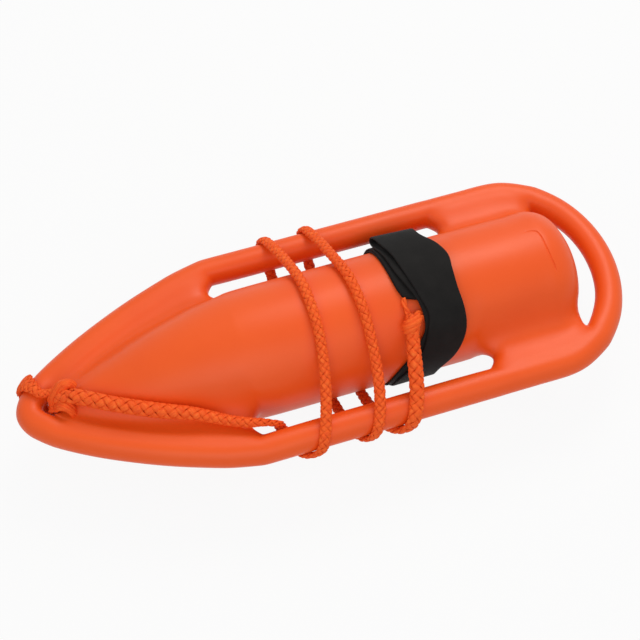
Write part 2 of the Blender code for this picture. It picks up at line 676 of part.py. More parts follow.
def rope_route():
    """The rope from the splice's throat to the knot at the sling, with its radii."""
    points, radii = nose_run()
    for step in range(DIVE_STEPS):
        angle = -DIVE_START_ANGLE - (math.pi/2 + BELT_ANGLE - DIVE_START_ANGLE)*step/DIVE_STEPS
        x = DIVE_X + (RUN_X[0]["under"] - DIVE_X)*step/DIVE_STEPS
        points.append(Vector((x, -RAIL_SPREAD + RAIL_WINDING_RADIUS*math.cos(angle),
                              RAIL_WINDING_RADIUS*math.sin(angle))))
        radii.append(RAIL_ROPE_RADIUS)
    for number, run in enumerate(RUN_X):
        ahead = RUN_X[number + 1]["under"] if number + 1 < len(RUN_X) else None
        turn, thickness = run_points(run, ahead)
        points += turn
        radii += thickness
    knot, direction = strap_knot_place()
    end = knot - direction*(KNOT_HALF_LENGTH + GAP)
    points.append(middle_point(points[-1], end - direction*2*TAIL_SPLICE_RADIUS))
    points += [end - direction*2*TAIL_SPLICE_RADIUS, end]
    radii += [(RAIL_TAIL_ROPE_RADIUS + TAIL_SPLICE_RADIUS)/2, TAIL_SPLICE_RADIUS, TAIL_SPLICE_RADIUS]
    return points, radii


def add_tube(name, points, radii, bevel_resolution):
    """A closed mesh tube through the points, with flat ends."""
    curve = bpy.data.curves.new(name, "CURVE")
    curve.dimensions = "3D"
    curve.bevel_depth = 1.0
    curve.bevel_resolution = bevel_resolution
    curve.use_fill_caps = True
    curve.twist_mode = "MINIMUM"
    spline = curve.splines.new("POLY")
    spline.points.add(len(points) - 1)
    for target, point, radius in zip(spline.points, points, radii):
        target.co = (point.x, point.y, point.z, 1.0)
        target.radius = radius
    guide = bpy.data.objects.new(name + "_guide", curve)
    bpy.context.scene.collection.objects.link(guide)
    evaluated = guide.evaluated_get(bpy.context.evaluated_depsgraph_get())
    mesh = bpy.data.meshes.new_from_object(evaluated)
    mesh.name = name
    bpy.data.objects.remove(guide, do_unlink=True)
    builder = bmesh.new()
    builder.from_mesh(mesh)
    bmesh.ops.remove_doubles(builder, verts=builder.verts, dist=1e-6)
    bmesh.ops.recalc_face_normals(builder, faces=builder.faces)
    builder.to_mesh(mesh)
    builder.free()
    item = bpy.data.objects.new(name, mesh)
    bpy.context.scene.collection.objects.link(item)
    return item


def add_floor_cutter(name, depth):
    """A block whose top, at a depth below the can's axis, is the surface that the part stands on."""
    builder = bmesh.new()
    bmesh.ops.create_cube(builder, size=1.0)
    bmesh.ops.scale(builder, verts=builder.verts, vec=(2*CAN_LENGTH, 4*RAIL_SPREAD, HULL_RADIUS))
    bmesh.ops.translate(builder, verts=builder.verts, vec=(MIDDLE_X, 0.0, -depth - HULL_RADIUS/2))
    mesh = bpy.data.meshes.new(name)
    builder.to_mesh(mesh)
    builder.free()
    item = bpy.data.objects.new(name, mesh)
    bpy.context.scene.collection.objects.link(item)
    return place(item, cutter=True)


def least_gap(points, radii):
    """Least clear distance between stretches of the rope that are more than six radii apart on it."""
    fine = []
    thick = []
    for (a, b), (ra, rb) in zip(zip(points, points[1:]), zip(radii, radii[1:])):
        for step in range(6):
            fine.append(a.lerp(b, step/6))
            thick.append(ra + (rb - ra)*step/6)
    places = np.array([tuple(p) for p in fine])
    thick = np.array(thick)
    along = np.concatenate([[0.0], np.cumsum(np.linalg.norm(np.diff(places, axis=0), axis=1))])
    best = 1.0
    for i in range(len(places)):
        far = np.abs(along - along[i]) > 6*ROPE_RADIUS
        if far.any():
            clear = np.linalg.norm(places[far] - places[i], axis=1) - thick[far] - thick[i]
            best = min(best, clear.min())
    return best, along[-1]


def make_rope(floor, materials):
    points, radii = rope_route()
    gap, length = least_gap(points, radii)
    print("rope: least gap to itself %.2f mm, length %.3f m" % (gap*1000, length))
    rope = add_tube("tow_rope", points, radii, 1)
    place(rope, materials["rope"])
    add_boolean(rope, floor, "DIFFERENCE")
    return rope


def make_rope_eye(materials):
    """The eye round the nose rim and the throat where its two legs meet the splice."""
    radius = (RAIL_RADIUS + GAP + EYE_ROPE_RADIUS)/math.cos(math.radians(EYE_HALF_STEP_DEGREES))
    start, second = nose_run()[0][:2]
    direction = (second - start).normalized()
    throat = start - direction*(GAP + THROAT_LENGTH)
    inside = throat + direction*THROAT_LENGTH/2
    points = [inside]
    for degrees in EYE_DEGREES:
        angle = math.radians(degrees)
        centre, normal = rail_point(EYE_STATION + EYE_SLANT*(1 - math.cos(angle))/2)
        out = -math.cos(angle)*radius
        points.append(Vector((centre.x + out*normal.x, centre.y + out*normal.y, math.sin(angle)*radius)))
    points.append(points[-1].lerp(inside, 0.25) + Vector((0.0, 0.0, EYE_LEG_RISE)))
    points.append(inside)
    eye = add_tube("rope_eye", points, [EYE_ROPE_RADIUS]*len(points), 2)
    place(eye, materials["rope"])
    lump_points = [throat, throat + direction*0.3*THROAT_LENGTH, throat + direction*0.7*THROAT_LENGTH,
                   throat + direction*THROAT_LENGTH]
    lump_radii = [KNOT_RADIUS*0.75, KNOT_RADIUS, KNOT_RADIUS, SPLICE_RADIUS]
    lump = add_tube("throat_cutter", lump_points, lump_radii, 2)
    place(lump, cutter=True)
    add_boolean(eye, lump, "UNION").use_self = True
    return eye


def make_strap_knot(materials):
    """The knot that holds the sling, with the thin strand that runs on into its fold."""
    centre, direction = strap_knot_place()
    places = (-1.0, -0.5, 0.0, 0.5, 1.0)
    sizes = (TAIL_SPLICE_RADIUS, 0.9*KNOT_RADIUS, KNOT_RADIUS, 0.9*KNOT_RADIUS, 0.5*KNOT_RADIUS)
    points = [centre + direction*share*KNOT_HALF_LENGTH for share in places]
    knot = add_tube("rope_knot", points, sizes, 2)
    place(knot, materials["rope"])
    first = STRAP_ROUTE[0][0]
    corner = sling_vertex(first, BAND_THICKNESS/2, -1)
    across = (sling_vertex(first, BAND_THICKNESS/2, -0.5) - corner).normalized()
    ahead = Vector((0.0, corner.y, corner.z)).cross(across).normalized()
    end = corner + across*2*TAIL_STRAND_RADIUS - ahead*(BAND_THICKNESS/2 + GAP)
    run = [centre]
    for x, angle, lift in TAIL_STRAND_RUN:
        turn = math.radians(angle)
        run.append(Vector((x, (HULL_RADIUS + lift)*math.sin(turn), (HULL_RADIUS + lift)*math.cos(turn))))
    run += [end - ahead*2*TAIL_STRAND_RADIUS, end]
    strand = add_tube("tail_strand_cutter", run, [TAIL_STRAND_RADIUS]*len(run), 1)
    place(strand, cutter=True)
    add_boolean(knot, strand, "UNION")
    return knot


# Sling

def hermite(keys, value):
    """Smooth curve through the sling's keys: x of the middle, hang and layer at an angle."""
    angles = [key[0] for key in keys]
    index = min(max(1, int(np.searchsorted(angles, value))), len(keys) - 1)
    before, after = keys[index - 1], keys[index]
    span = after[0] - before[0]
    share = min(1.0, max(0.0, (value - before[0])/span))
    square, cube = share*share, share**3
    result = []
    for field in (1, 2, 3):
        slopes = []
        for i in (index - 1, index):
            low = max(0, i - 1)
            high = min(len(keys) - 1, i + 1)
            slopes.append((keys[high][field] - keys[low][field])/(keys[high][0] - keys[low][0])*span)
        result.append((2*cube - 3*square + 1)*before[field] + (cube - 2*square + share)*slopes[0]
                      + (3*square - 2*cube)*after[field] + (cube - square)*slopes[1])
    return result


def sling_vertex(angle, outward, side):
    """A point across the sling's width (side -1 to 1), outward from the double band's inner face."""
    first = STRAP_ROUTE[0][0]
    slant = max(0.0, 1 - (angle - first)/FOLD_SLANT_REACH_DEGREES)
    angle -= FOLD_SLANT_DEGREES*side*slant
    x, hang, layer = hermite(STRAP_ROUTE, angle)
    turn = math.radians(angle)
    radius = BAND_RADIUS + max(0.0, hang)*STRAP_SAG + max(0.0, layer)*STRAP_LAYER_LIFT + outward
    return Vector((x + side*WEBBING_WIDTH/2, radius*math.sin(turn), radius*math.cos(turn)))


def bight_share(angle):
    """How far the plies have opened towards the bight, from 0 to 1."""
    return min(1.0, max(0.0, 1 - (STRAP_ROUTE[-1][0] - angle)/BIGHT_OPENING_DEGREES))


def sling_line(side):
    """Closed line along the band: the inner ply out to the bight, and the outer ply back to the fold."""
    inner = WEBBING_THICKNESS/2
    outer = BAND_THICKNESS - WEBBING_THICKNESS/2
    first, last = STRAP_ROUTE[0][0], STRAP_ROUTE[-1][0]
    count = int(round((last - first)/STRAP_STEP_DEGREES))
    angles = [first + (last - first)*i/count for i in range(count + 1)]
    path = []
    for angle in angles:
        path.append(sling_vertex(angle, inner, side) - Vector((SPLAY*bight_share(angle), 0.0, 0.0)))
    tip = sling_vertex(last, inner, side)
    along = Vector((0.0, tip.z, -tip.y)).normalized()
    outward = Vector((0.0, tip.y, tip.z)).normalized()
    reach = math.radians(BIGHT_REACH_DEGREES)*HULL_RADIUS
    for ahead, rise in ((0.62, 0.18), (0.93, 0.42), (1.0, 0.72), (0.82, 1.0), (0.42, 1.06)):
        lift = rise*(BIGHT_RISE + outer - inner) - reach*ahead*math.sin(math.radians(BIGHT_REACH_DEGREES)/2)
        path.append(tip + along*reach*ahead + outward*lift + Vector((SPLAY*(2*rise - 1), 0.0, 0.0)))
    for angle in reversed(angles):
        share = bight_share(angle)
        path.append(sling_vertex(angle, outer + BIGHT_RISE*share**2, side) + Vector((SPLAY*share, 0.0, 0.0)))
    middle = sling_vertex(first, (inner + outer)/2, side)
    ahead = (sling_vertex(first + 1.0, (inner + outer)/2, side) - middle).normalized()
    path.append(middle - ahead*(outer - inner)/2)
    return path


def make_strap(floor, materials):
    """The webbing loop as one closed band, thickened about the surface through its long lines."""
    lines = [sling_line(side) for side in (-1, 0, 1)]
    count = len(lines[0])
    vertices = []
    for i in range(count):
        tangent = sum((line[(i + 1) % count] - line[i - 1] for line in lines), Vector()).normalized()
        across = (lines[2][i] - lines[0][i]).normalized()
        lift = tangent.cross(across).normalized()*WEBBING_THICKNESS/2
        vertices += [line[i] - lift for line in lines] + [line[i] + lift for line in reversed(lines)]
    faces = []
    for i in range(count):
        here, ahead = 6*i, 6*((i + 1) % count)
        for corner in range(6):
            other = (corner + 1) % 6
            faces.append((here + corner, here + other, ahead + other, ahead + corner))
    strap = add_mesh("shoulder_sling", vertices, faces)
    length = sum((lines[1][i] - lines[1][i - 1]).length for i in range(count))
    print("sling: webbing round the loop %.3f m" % length)
    place(strap, materials["webbing"])
    add_boolean(strap, floor, "DIFFERENCE")
    return strap


def main():
    clear_scene()
    materials = {
        "shell": make_material("moulded_orange", SHELL_ORANGE, 0.42),
        "foam": make_material("foam_cream", FOAM_CREAM, 0.95),
        "plug": make_material("plug_black", PLUG_BLACK, 0.45),
        "rope": make_material("rope_orange", ROPE_ORANGE, 0.75),
        "webbing": make_material("webbing_black", WEBBING_BLACK, 0.85),
    }
    surface = CanSurface().build()
    make_can(surface, materials)
    make_foam(surface, materials)
    make_plug(materials)
    floor = add_floor_cutter("floor_cutter", AXIS_HEIGHT)
    make_rope(floor, materials)
    make_rope_eye(materials)
    make_strap_knot(materials)
    make_strap(floor, materials)


main()
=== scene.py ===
"""Looks of the moulded torpedo rescue buoy: smooth skin, braided rope, webbing sling, light, camera.

Metres, +Z up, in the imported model's frame. Pieces are laid out from the can's front end on its
own axis, as the model is, and stood on the surface by the same shared offset.
"""
from math import asin, cos, pi, radians, sin, sqrt

import bmesh
import bpy
import numpy as np
from mathutils import Matrix, Vector


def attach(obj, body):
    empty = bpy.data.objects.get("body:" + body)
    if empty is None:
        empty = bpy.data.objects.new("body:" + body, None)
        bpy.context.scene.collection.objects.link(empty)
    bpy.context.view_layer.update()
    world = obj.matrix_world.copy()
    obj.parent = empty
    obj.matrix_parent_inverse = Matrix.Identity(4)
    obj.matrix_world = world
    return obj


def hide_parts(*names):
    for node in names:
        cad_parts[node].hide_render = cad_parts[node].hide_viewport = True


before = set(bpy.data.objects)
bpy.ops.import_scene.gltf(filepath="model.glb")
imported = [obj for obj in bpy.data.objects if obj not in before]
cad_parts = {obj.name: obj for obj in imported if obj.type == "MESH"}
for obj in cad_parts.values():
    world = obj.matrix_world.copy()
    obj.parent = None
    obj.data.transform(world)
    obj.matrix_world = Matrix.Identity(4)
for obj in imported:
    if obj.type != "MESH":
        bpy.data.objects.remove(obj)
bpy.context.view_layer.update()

# Moulded can, seen from above
CAN_LENGTH = 0.7056
RAIL_SPREAD = 0.1185
RAIL_RADIUS = 0.0165
NOSE_LENGTH = 0.2503
NOSE_BLUNTNESS = 0.0384
SHOULDER_EASE = 0.0477
TAIL_ARC_DEPTH = 0.0977
NOSE_HOLE_X = 0.0405
NOSE_HOLE_RADIUS = 0.0105
SLOT_FRONT_X = 0.2423
SLOT_REAR_X = 0.5225
HAND_LOOP_REACH = 0.0686
SLOT_CORNER = 0.009
LOOP_THINNING = 0.0012
LOOP_THIN_STATIONS = (2.35, 2.8)

# Hull and webs
HULL_RADIUS = 0.074
HULL_NOSE_X = 0.026
HULL_FULL_X = 0.272
HULL_NOSE_FULLNESS = 1.65
STERN_TO_TAIL = 0.0528
STERN_DEPTH = 0.04
WEB_HALF_THICKNESS = 0.015
RAIL_FILLET = 0.006
HULL_FILLET = 0.0015
HULL_FILLET_RISE = 1.45
HULL_FILLET_LIMIT = 0.7
HULL_SOFTNESS = 6
HULL_CORNER_SHARE = 1.6
RAIL_TOP_DEGREES = (120, 106)

# Where the can's surface is held
NOSE_STATIONS = (0.0, 0.07, 0.13, 0.19, 0.235)
HOLE_EDGE_DEGREES = 74
HOLE_RIM_DEGREES = 80
RIM_HEIGHT = 0.8
NOSE_WEB_SHARES = (0.06, 0.21, 0.4, 0.59, 0.78)
SLOT_SHARES = (0.16, 0.38, 0.62, 0.84)
STERN_WEB_SHARES = (0.37, 0.73)
WEB_END_SHARE = 0.1965
WEB_RIM_SHARES = (0.5, 0.7)
TAIL_CORNER_SHARE = 0.2
WEB_DIP_SHARE = 0.1
STERN_RING_SHARES = (0.158, 0.045)
STERN_CENTRE_SHARE = 0.42
SKIN_LEVELS = 3

# Plug's seat under the stern, and the groove that frames the bare label place on top
FILLER_TO_STERN = 0.0736
PLUG_HEAD_RADIUS = 0.0125
PLUG_HEAD_THICKNESS = 0.0022
SEAT_SEGMENTS = 64
GROOVE_RADIUS = 0.0011
GROOVE_OVER_SKIN = 0.0007
GROOVE_STEP = 0.0012
GROOVE_SIDES = 10
SHARP_DEGREES = 32.0
GROOVE_RUN = ((0.5828, 0.0126, 1.4), (0.5874, 0.0147, 0.3), (0.5947, 0.015, 0.0), (0.602, 0.014, 0.0),
              (0.6062, 0.0113, 0.0), (0.608, 0.005, 0.0), (0.6087, -0.01, 0.0), (0.6098, -0.025, 0.0),
              (0.6108, -0.0355, 0.2), (0.6111, -0.041, 1.4))

# Rope
ROPE_RADIUS = 0.006
RAIL_ROPE_RADIUS = 0.0036
RAIL_TAIL_ROPE_RADIUS = 0.0046
RAIL_PRESS_X = (0.236, 0.262)
PRESSED_WIDENING = 0.25
SPLICE_RADIUS = 0.0088
TAIL_SPLICE_RADIUS = 0.0076
KNOT_RADIUS = 0.0105
KNOT_SETBACK = 0.014
EYE_STATION = 0.12
EYE_SLANT = 0.045
EYE_ROPE_RADIUS = 0.0042
GAP = 0.0003
ROPE_FLAT = 0.0012
CAD_ARC_STEPS = 4
WHEEL_STEPS = 24
# Where each turn lies along the can: under, beside and on top of the near rail, over the hull from
# near to far, on top of, beside and under the far rail, and below the hull from far to near
RUN_X = (
    (0.289, 0.3045, 0.3125, 0.3345, 0.335, 0.3235, 0.32, 0.3215, 0.329, 0.344),
    (0.3555, 0.366, 0.3742, 0.3885, 0.384, 0.3735, 0.37, 0.37, 0.3725, 0.379),
    (0.3935, 0.407, 0.416, 0.438),
)

# The run along the nose: place along the can, share of the way out to the near rail, and lift
NOSE_RUN = (
    (0.066, 0.086, 0.0042), (0.0815, 0.186, 0.003), (0.1009, 0.305, 0.0026),
    (0.1204, 0.409, 0.003), (0.14, 0.504, 0.0038), (0.1597, 0.591, 0.006),
    (0.1797, 0.672, 0.0062), (0.1996, 0.763, 0.0033), (0.2192, 0.868, 0.002),
    (0.2389, 0.952, 0.0015), (0.252, 0.982, 0.0008), (0.262, 0.992, -0.004),
    (0.269, 0.996, -0.0105),
)
SPLICE_END_X = 0.155
SPLICE_TAPER_END_X = 0.225
DIVE_X = 0.272
DIVE_START_ANGLE = 0.12
HULL_RUN_BOW = 0.0012

# Eye: its legs' first and last points, its way round the rim, and how much wider it lies there
EYE_START = ((0.064, 0.002, 0.0225), (0.055, 0.008, 0.0215))
EYE_END = ((0.0405, 0.005, -0.004), (0.042, 0.002, 0.008), (0.047, 0.002, 0.018),
           (0.056, 0.002, 0.0235))
EYE_DEGREES = (72, 345, 12)
EYE_RIM_WIDENING = 2.2
EYE_WIDENING_POWER = 3.2
EYE_TURN = 0.6

# Throat: points and radius of the splice's body and of the strands that fill the hole, then the
# loose bundles with strand count and half the spread. A strand is half its width and thickness.
SPLICE_BODY = ((0.048, -0.002, 0.02, 0.006), (0.056, -0.005, 0.0265, 0.0078),
               (0.0655, -0.0083, 0.0303, 0.0087))
HOLE_FILLING = ((0.0428, 0.0000, -0.015, 0.007), (0.0428, -0.0008, 0.0000, 0.0072),
                (0.044, -0.001, 0.013, 0.0068))
SPLICE_TURN = 0.4
THROAT_BUNDLES = (
    (((0.039, -0.001, 0.001), (0.0402, -0.002, 0.011), (0.044, 0.0008, 0.0205),
      (0.0505, 0.005, 0.029), (0.0585, 0.008, 0.0335), (0.065, 0.0072, 0.0325),
      (0.07, 0.0035, 0.0265)), 6, 0.0064),
    (((0.044, -0.007, 0.015), (0.05, -0.0105, 0.0245), (0.0565, -0.0155, 0.027),
      (0.061, -0.019, 0.0215), (0.063, -0.02, 0.013)), 5, 0.006),
)
BUNDLE_STRAND = (0.0022, 0.0026)
BUNDLE_FAN = (0.7, 0.3)
BUNDLE_SWAY = 0.12
BUNDLE_SWAY_WAVE = (5.0, 1.7)
BUNDLE_DROP = 0.45
FINE_STEP = 0.0008

# Knot at the sling: distance along the rope and radius of its core, then strands over the hull as
# place along the can, degrees from the crown and lift
KNOT_CORE = ((-0.015, 0.007), (-0.006, 0.0082), (0.003, 0.0078), (0.01, 0.005))
KNOT_TUCKS = (
    (((0.437, -36.5, 0.013), (0.441, -34.4, 0.011), (0.4455, -33.4, 0.0075), (0.45, -34.2, 0.004),
      (0.455, -36.0, 0.0026)), 0.0026, 0.0016),
    (((0.44, -39.5, 0.015), (0.445, -37.0, 0.012), (0.449, -37.6, 0.007), (0.452, -39.2, 0.0038),
      (0.456, -41.0, 0.0026)), 0.0026, 0.0016),
    (((0.435, -37.8, 0.0145), (0.43, -38.4, 0.011), (0.4262, -40.4, 0.006), (0.427, -44.0, 0.0045),
      (0.431, -47.5, 0.007)), 0.0025, 0.0016),
)
KNOT_THIN_RUN = ((0.4362, -37.5, 0.012), (0.4353, -33.8, 0.0065), (0.4344, -28.0, 0.0044),
                 (0.4343, -22.5, 0.0042), (0.4352, -19.0, 0.0042))
THIN_STRAND_OFFSETS = (-0.0014, 0.0014)
THIN_STRAND_TURNS = 1.25
THIN_STRAND_FLATNESS = 0.8
THIN_STRAND = (0.0018, 0.0013)
KNOT_LEAD = 0.018
KNOT_OVERRUN = 0.004
KNOT_NECK = 0.8
KNOT_TURN = 0.3
WRAP_COUNT = 3
WRAP_STEPS = 64
WRAP_REACH = 0.0092
WRAP_SPAN = 0.0125
WRAP_ROUNDNESS = 1.5
WRAP_SQUASH = 0.86
WRAP_LEAN = 0.0042
WRAP_LEAN_START = 0.15
WRAP_STRAND = (0.0032, 0.0021)

# Plait: four strands each way round a core, over one and under one, as shares of the rope's radius
PLAIT_STEP = 0.0011
PLAIT_PITCH = 6.0
PLAIT_CENTRE = 0.64
PLAIT_LIFT = 0.18
PLAIT_HALF_WIDTH = 0.46
PLAIT_HALF_THICKNESS = 0.2
PLAIT_CORE = 0.52
PLAIT_UNEVENNESS = 0.1
PLAIT_UNEVEN_WAVE = (0.73, 2.1)
PLAIT_SOFTNESS = 0.35
# How sharply the painted shade on a plait strand grows towards where it dives under
PAINTED_SHADE_POWER = 1.5
STRAND_SIDES = 8

# Where the fibre pattern starts on each strand, in patterns, and a pattern's length
FIBRE_LENGTH = 0.005
PLAIT_FIBRE_STARTS = (7.3, 31.7)
BUNDLE_FIBRE_STARTS = (4.0, 9.0, 3.7)
WRAP_FIBRE_STARTS = (1.0, 3.1)
TUCK_FIBRE_START = 11.0
THIN_FIBRE_START = 50.0

# Sling: angle from the crown towards the far side, then in metres the left edge and right edge of
# the inner ply, the same of the outer ply, then shares of hanging to the floor and of the layer below
SLING_ROUTE = (
    (-26, 0.439, 0.487, 0.439, 0.487, 0.0, 0.0), (-12, 0.4318, 0.48, 0.4322, 0.4805, 0.0, 0.0),
    (0, 0.4295, 0.4785, 0.43, 0.479, 0.0, 0.0), (15, 0.428, 0.4775, 0.4288, 0.4782, 0.0, 0.0),
    (42, 0.4262, 0.4762, 0.4272, 0.4772, 0.0, 0.0), (90, 0.4225, 0.4725, 0.424, 0.474, 0.0, 0.0),
    (125, 0.4135, 0.4635, 0.4165, 0.4665, 0.0, 0.0), (155, 0.409, 0.459, 0.413, 0.463, 0.55, 0.0),
    (180, 0.406, 0.456, 0.411, 0.461, 1.0, 0.0), (205, 0.4045, 0.4545, 0.4105, 0.4605, 0.55, 0.0),
    (235, 0.405, 0.455, 0.412, 0.462, 0.0, 0.0), (265, 0.409, 0.4585, 0.4165, 0.466, 0.0, 0.0),
    (278, 0.4182, 0.468, 0.431, 0.48, 0.0, 0.0), (289, 0.43, 0.4795, 0.44, 0.4882, 0.0, 0.1),
    (300, 0.4395, 0.4885, 0.4465, 0.4938, 0.0, 0.35), (312, 0.4485, 0.4965, 0.4515, 0.4962, 0.0, 0.9),
    (323, 0.4505, 0.496, 0.4558, 0.4965, 0.0, 1.0), (338, 0.4475, 0.494, 0.4512, 0.4952, 0.0, 1.0),
    (353, 0.4395, 0.489, 0.446, 0.4965, 0.0, 1.0), (364, 0.435, 0.4845, 0.4425, 0.4982, 0.0, 1.0),
    (377, 0.4325, 0.481, 0.439, 0.492, 0.0, 1.0), (392, 0.43, 0.4775, 0.4335, 0.4805, 0.0, 1.0),
    (402, 0.4285, 0.4765, 0.4305, 0.478, 0.0, 1.0),
)
WEBBING_WIDTH = 0.05
WEBBING_THICKNESS = 0.0019
PLY_GAP = 0.0005
LAYER_GAP = 0.0006
STRAP_FLAT = 0.0005
CAD_STRAP_STEP = 9.0
SLING_STEP_DEGREES = 3.0
SLING_ACROSS = (-1.0, -0.985, -0.94, -0.75, -0.5, -0.25, 0.0, 0.25, 0.5, 0.75, 0.94, 0.985, 1.0)
FOLD_SLANT_DEGREES = 8.0
FOLD_SLANT_REACH_DEGREES = 45.0
BIGHT_RISE = 0.0058
BIGHT_LEFT_RISE = 0.0018
BIGHT_REACH_DEGREES = 14.0
BIGHT_END_DEGREES = 401.5
BIGHT_SLANT_DEGREES = 1.2
BIGHT_OPENING_DEGREES = 60.0
BIGHT_ARC = ((0.35, 0.06), (0.66, 0.17), (0.88, 0.32), (0.98, 0.5), (0.99, 0.68), (0.88, 0.85),
             (0.66, 0.97), (0.34, 1.03))
EDGE_THINNING = {1.0: 0.35, 0.985: 0.8}
EDGE_WEAVE = 0.001
WRINKLE = 0.0006
WRINKLE_WAVES = ((5.3, 2.1, 0.0, 1.7), (11.0, -3.0, 0.6, 1.0))

# Photograph's viewpoint: place from the can's front end on its axis, turn, tilt and lens
CAMERA_PLACE = (0.106037, -0.748419, 1.354129)
CAMERA_TURN_DEGREES = -17.917
CAMERA_ELEVATION_DEGREES = 59.2614
CAMERA_LENS_MM = 77.837
SENSOR_MM = 36.0

# Stage: lamps as name, place, size in metres, power in watts and colour
FLOOR_HALF_SIZE = 6.0
FLOOR_WHITE_SHARE = 0.92
WORLD_STRENGTH = 0.58
WHITE = (1.0, 1.0, 1.0, 1.0)
LAMP_AIM = Vector((0.0, 0.0, 0.05))
LAMPS = (
    ("key", (0.75, 1.05, 1.75), 1.1, 18.5, (1.0, 0.97, 0.9)),
    ("front", (-0.5, -1.6, 1.6), 2.0, 13.5, (1.0, 1.0, 1.0)),
)

# Derived places
MIDDLE_X = CAN_LENGTH/2
STERN_X = CAN_LENGTH - STERN_TO_TAIL
TAIL_SLOT_FRONT_X = CAN_LENGTH - HAND_LOOP_REACH
WEB_END_REACH = WEB_END_SHARE*(TAIL_SLOT_FRONT_X - SLOT_REAR_X)
TAIL_START_X = CAN_LENGTH - RAIL_RADIUS - TAIL_ARC_DEPTH
FILLER_X = STERN_X - FILLER_TO_STERN
HULL_BELT_RADIUS = HULL_RADIUS + GAP + ROPE_RADIUS
RAIL_BELT_RADIUS = RAIL_RADIUS + GAP + RAIL_ROPE_RADIUS
BELT_ANGLE = asin((HULL_BELT_RADIUS - RAIL_BELT_RADIUS)/RAIL_SPREAD)
CAD_WINDING_RADIUS = HULL_BELT_RADIUS/cos(BELT_ANGLE/CAD_ARC_STEPS)
AXIS_HEIGHT = CAD_WINDING_RADIUS + ROPE_RADIUS*cos(pi/6) - ROPE_FLAT
BAND_THICKNESS = 2*WEBBING_THICKNESS + PLY_GAP
BAND_RADIUS = (HULL_RADIUS + LAYER_GAP)/cos(radians(CAD_STRAP_STEP/2))
STRAP_SAG = AXIS_HEIGHT + STRAP_FLAT - BAND_RADIUS - BAND_THICKNESS
STRAP_LAYER_LIFT = BAND_THICKNESS + 3*LAYER_GAP
UP = (0.0, 0.0, 1.0)


def place(item, material=None):
    """Stands a piece, laid out on the can's own axis, on the surface."""
    item.location = (-MIDDLE_X, 0.0, AXIS_HEIGHT)
    if material is not None:
        item.data.materials.append(material)
    bpy.context.view_layer.update()
    return item


def link(data):
    item = bpy.data.objects.new(data.name, data)
    bpy.context.scene.collection.objects.link(item)
    return item


def raw_mesh(name, points, faces, layer=None, uvs=None):
    """A mesh from points and faces, with coordinates for its pattern where a layer is named."""
    mesh = bpy.data.meshes.new(name)
    mesh.from_pydata(points, [], faces)
    if layer:
        mesh.uv_layers.new(name=layer).data.foreach_set("uv", np.array(uvs, np.float32))
    mesh.update()
    return mesh


def built_mesh(name, builder):
    mesh = bpy.data.meshes.new(name)
    builder.to_mesh(mesh)
    builder.free()
    return mesh


def share_between(value, start, end):
    """How far a value lies from start to end, held between none and all."""
    return min(1.0, max(0.0, (value - start)/(end - start)))


def apply_modifiers(item):
    """Replaces a piece's mesh by the one its modifiers make."""
    evaluated = item.evaluated_get(bpy.context.evaluated_depsgraph_get())
    mesh = bpy.data.meshes.new_from_object(evaluated)
    item.modifiers.clear()
    item.data = mesh


# Materials

class Nodes:
    """A node tree, built up by short calls."""

    def __init__(self, tree):
        self.tree = tree

    def feed(self, socket, value):
        """Links a socket to another one, or sets its value."""
        if isinstance(value, bpy.types.NodeSocket):
            self.tree.links.new(value, socket)
        else:
            socket.default_value = value

    def node(self, kind, settings=None, **inputs):
        node = self.tree.nodes.new("ShaderNode" + kind)
        for key, value in (settings or {}).items():
            setattr(node, key, value)
        for key, value in inputs.items():
            self.feed(node.inputs[key.replace("_", " ")], value)
        return node

    def math(self, operation, first, second=0.0):
        node = self.node("Math", {"operation": operation})
        self.feed(node.inputs[0], first)
        self.feed(node.inputs[1], second)
        return node.outputs[0]

    def span(self, value, low, high):
        return self.node("MapRange", Value=value, To_Min=low, To_Max=high).outputs["Result"]

    def seen(self):
        """One for rays from the camera, a mirror or glass, and none for the rest."""
        rays = self.node("LightPath").outputs
        seen = self.math("MAXIMUM", rays["Is Camera Ray"], rays["Is Glossy Ray"])
        return self.math("MAXIMUM", seen, rays["Is Transmission Ray"])


class Shading(Nodes):
    def __init__(self, name, roughness, specular=0.5):
        self.material = bpy.data.materials.new(name)
        self.material.use_nodes = True
        super().__init__(self.material.node_tree)
        self.shader = self.tree.nodes["Principled BSDF"]
        self.set("Roughness", roughness)
        self.set("Specular IOR Level", specular)

    def set(self, name, value):
        self.feed(self.shader.inputs[name], value)

    def coordinates(self, name="Object"):
        return self.node("TexCoord").outputs[name]

    def noise(self, vector, scale, detail=3.0, roughness=0.5):
        node = self.node("TexNoise", Vector=vector, Scale=scale, Detail=detail, Roughness=roughness)
        return node.outputs["Fac"]

    def mapping(self, vector, scale):
        return self.node("Mapping", Vector=vector, Scale=scale).outputs["Vector"]

    def ramp(self, value, *stops):
        node = self.node("ValToRGB", Fac=value)
        elements = node.color_ramp.elements
        while len(elements) < len(stops):
            elements.new(0.5)
        for element, (position, colour) in zip(elements, stops):
            element.position = position
            element.color = (*colour, 1.0)
        return node.outputs["Color"]

    def mix(self, factor, first, second):
        node = self.node("Mix", {"data_type": "RGBA"})
        for number, value in ((0, factor), (6, first), (7, second)):
            self.feed(node.inputs[number], value)
        return node.outputs[2]

    def bump(self, height, strength, distance, below=None):
        node = self.node("Bump", Height=height, Strength=strength, Distance=distance)
        if below is not None:
            self.feed(node.inputs["Normal"], below)
        return node.outputs["Normal"]


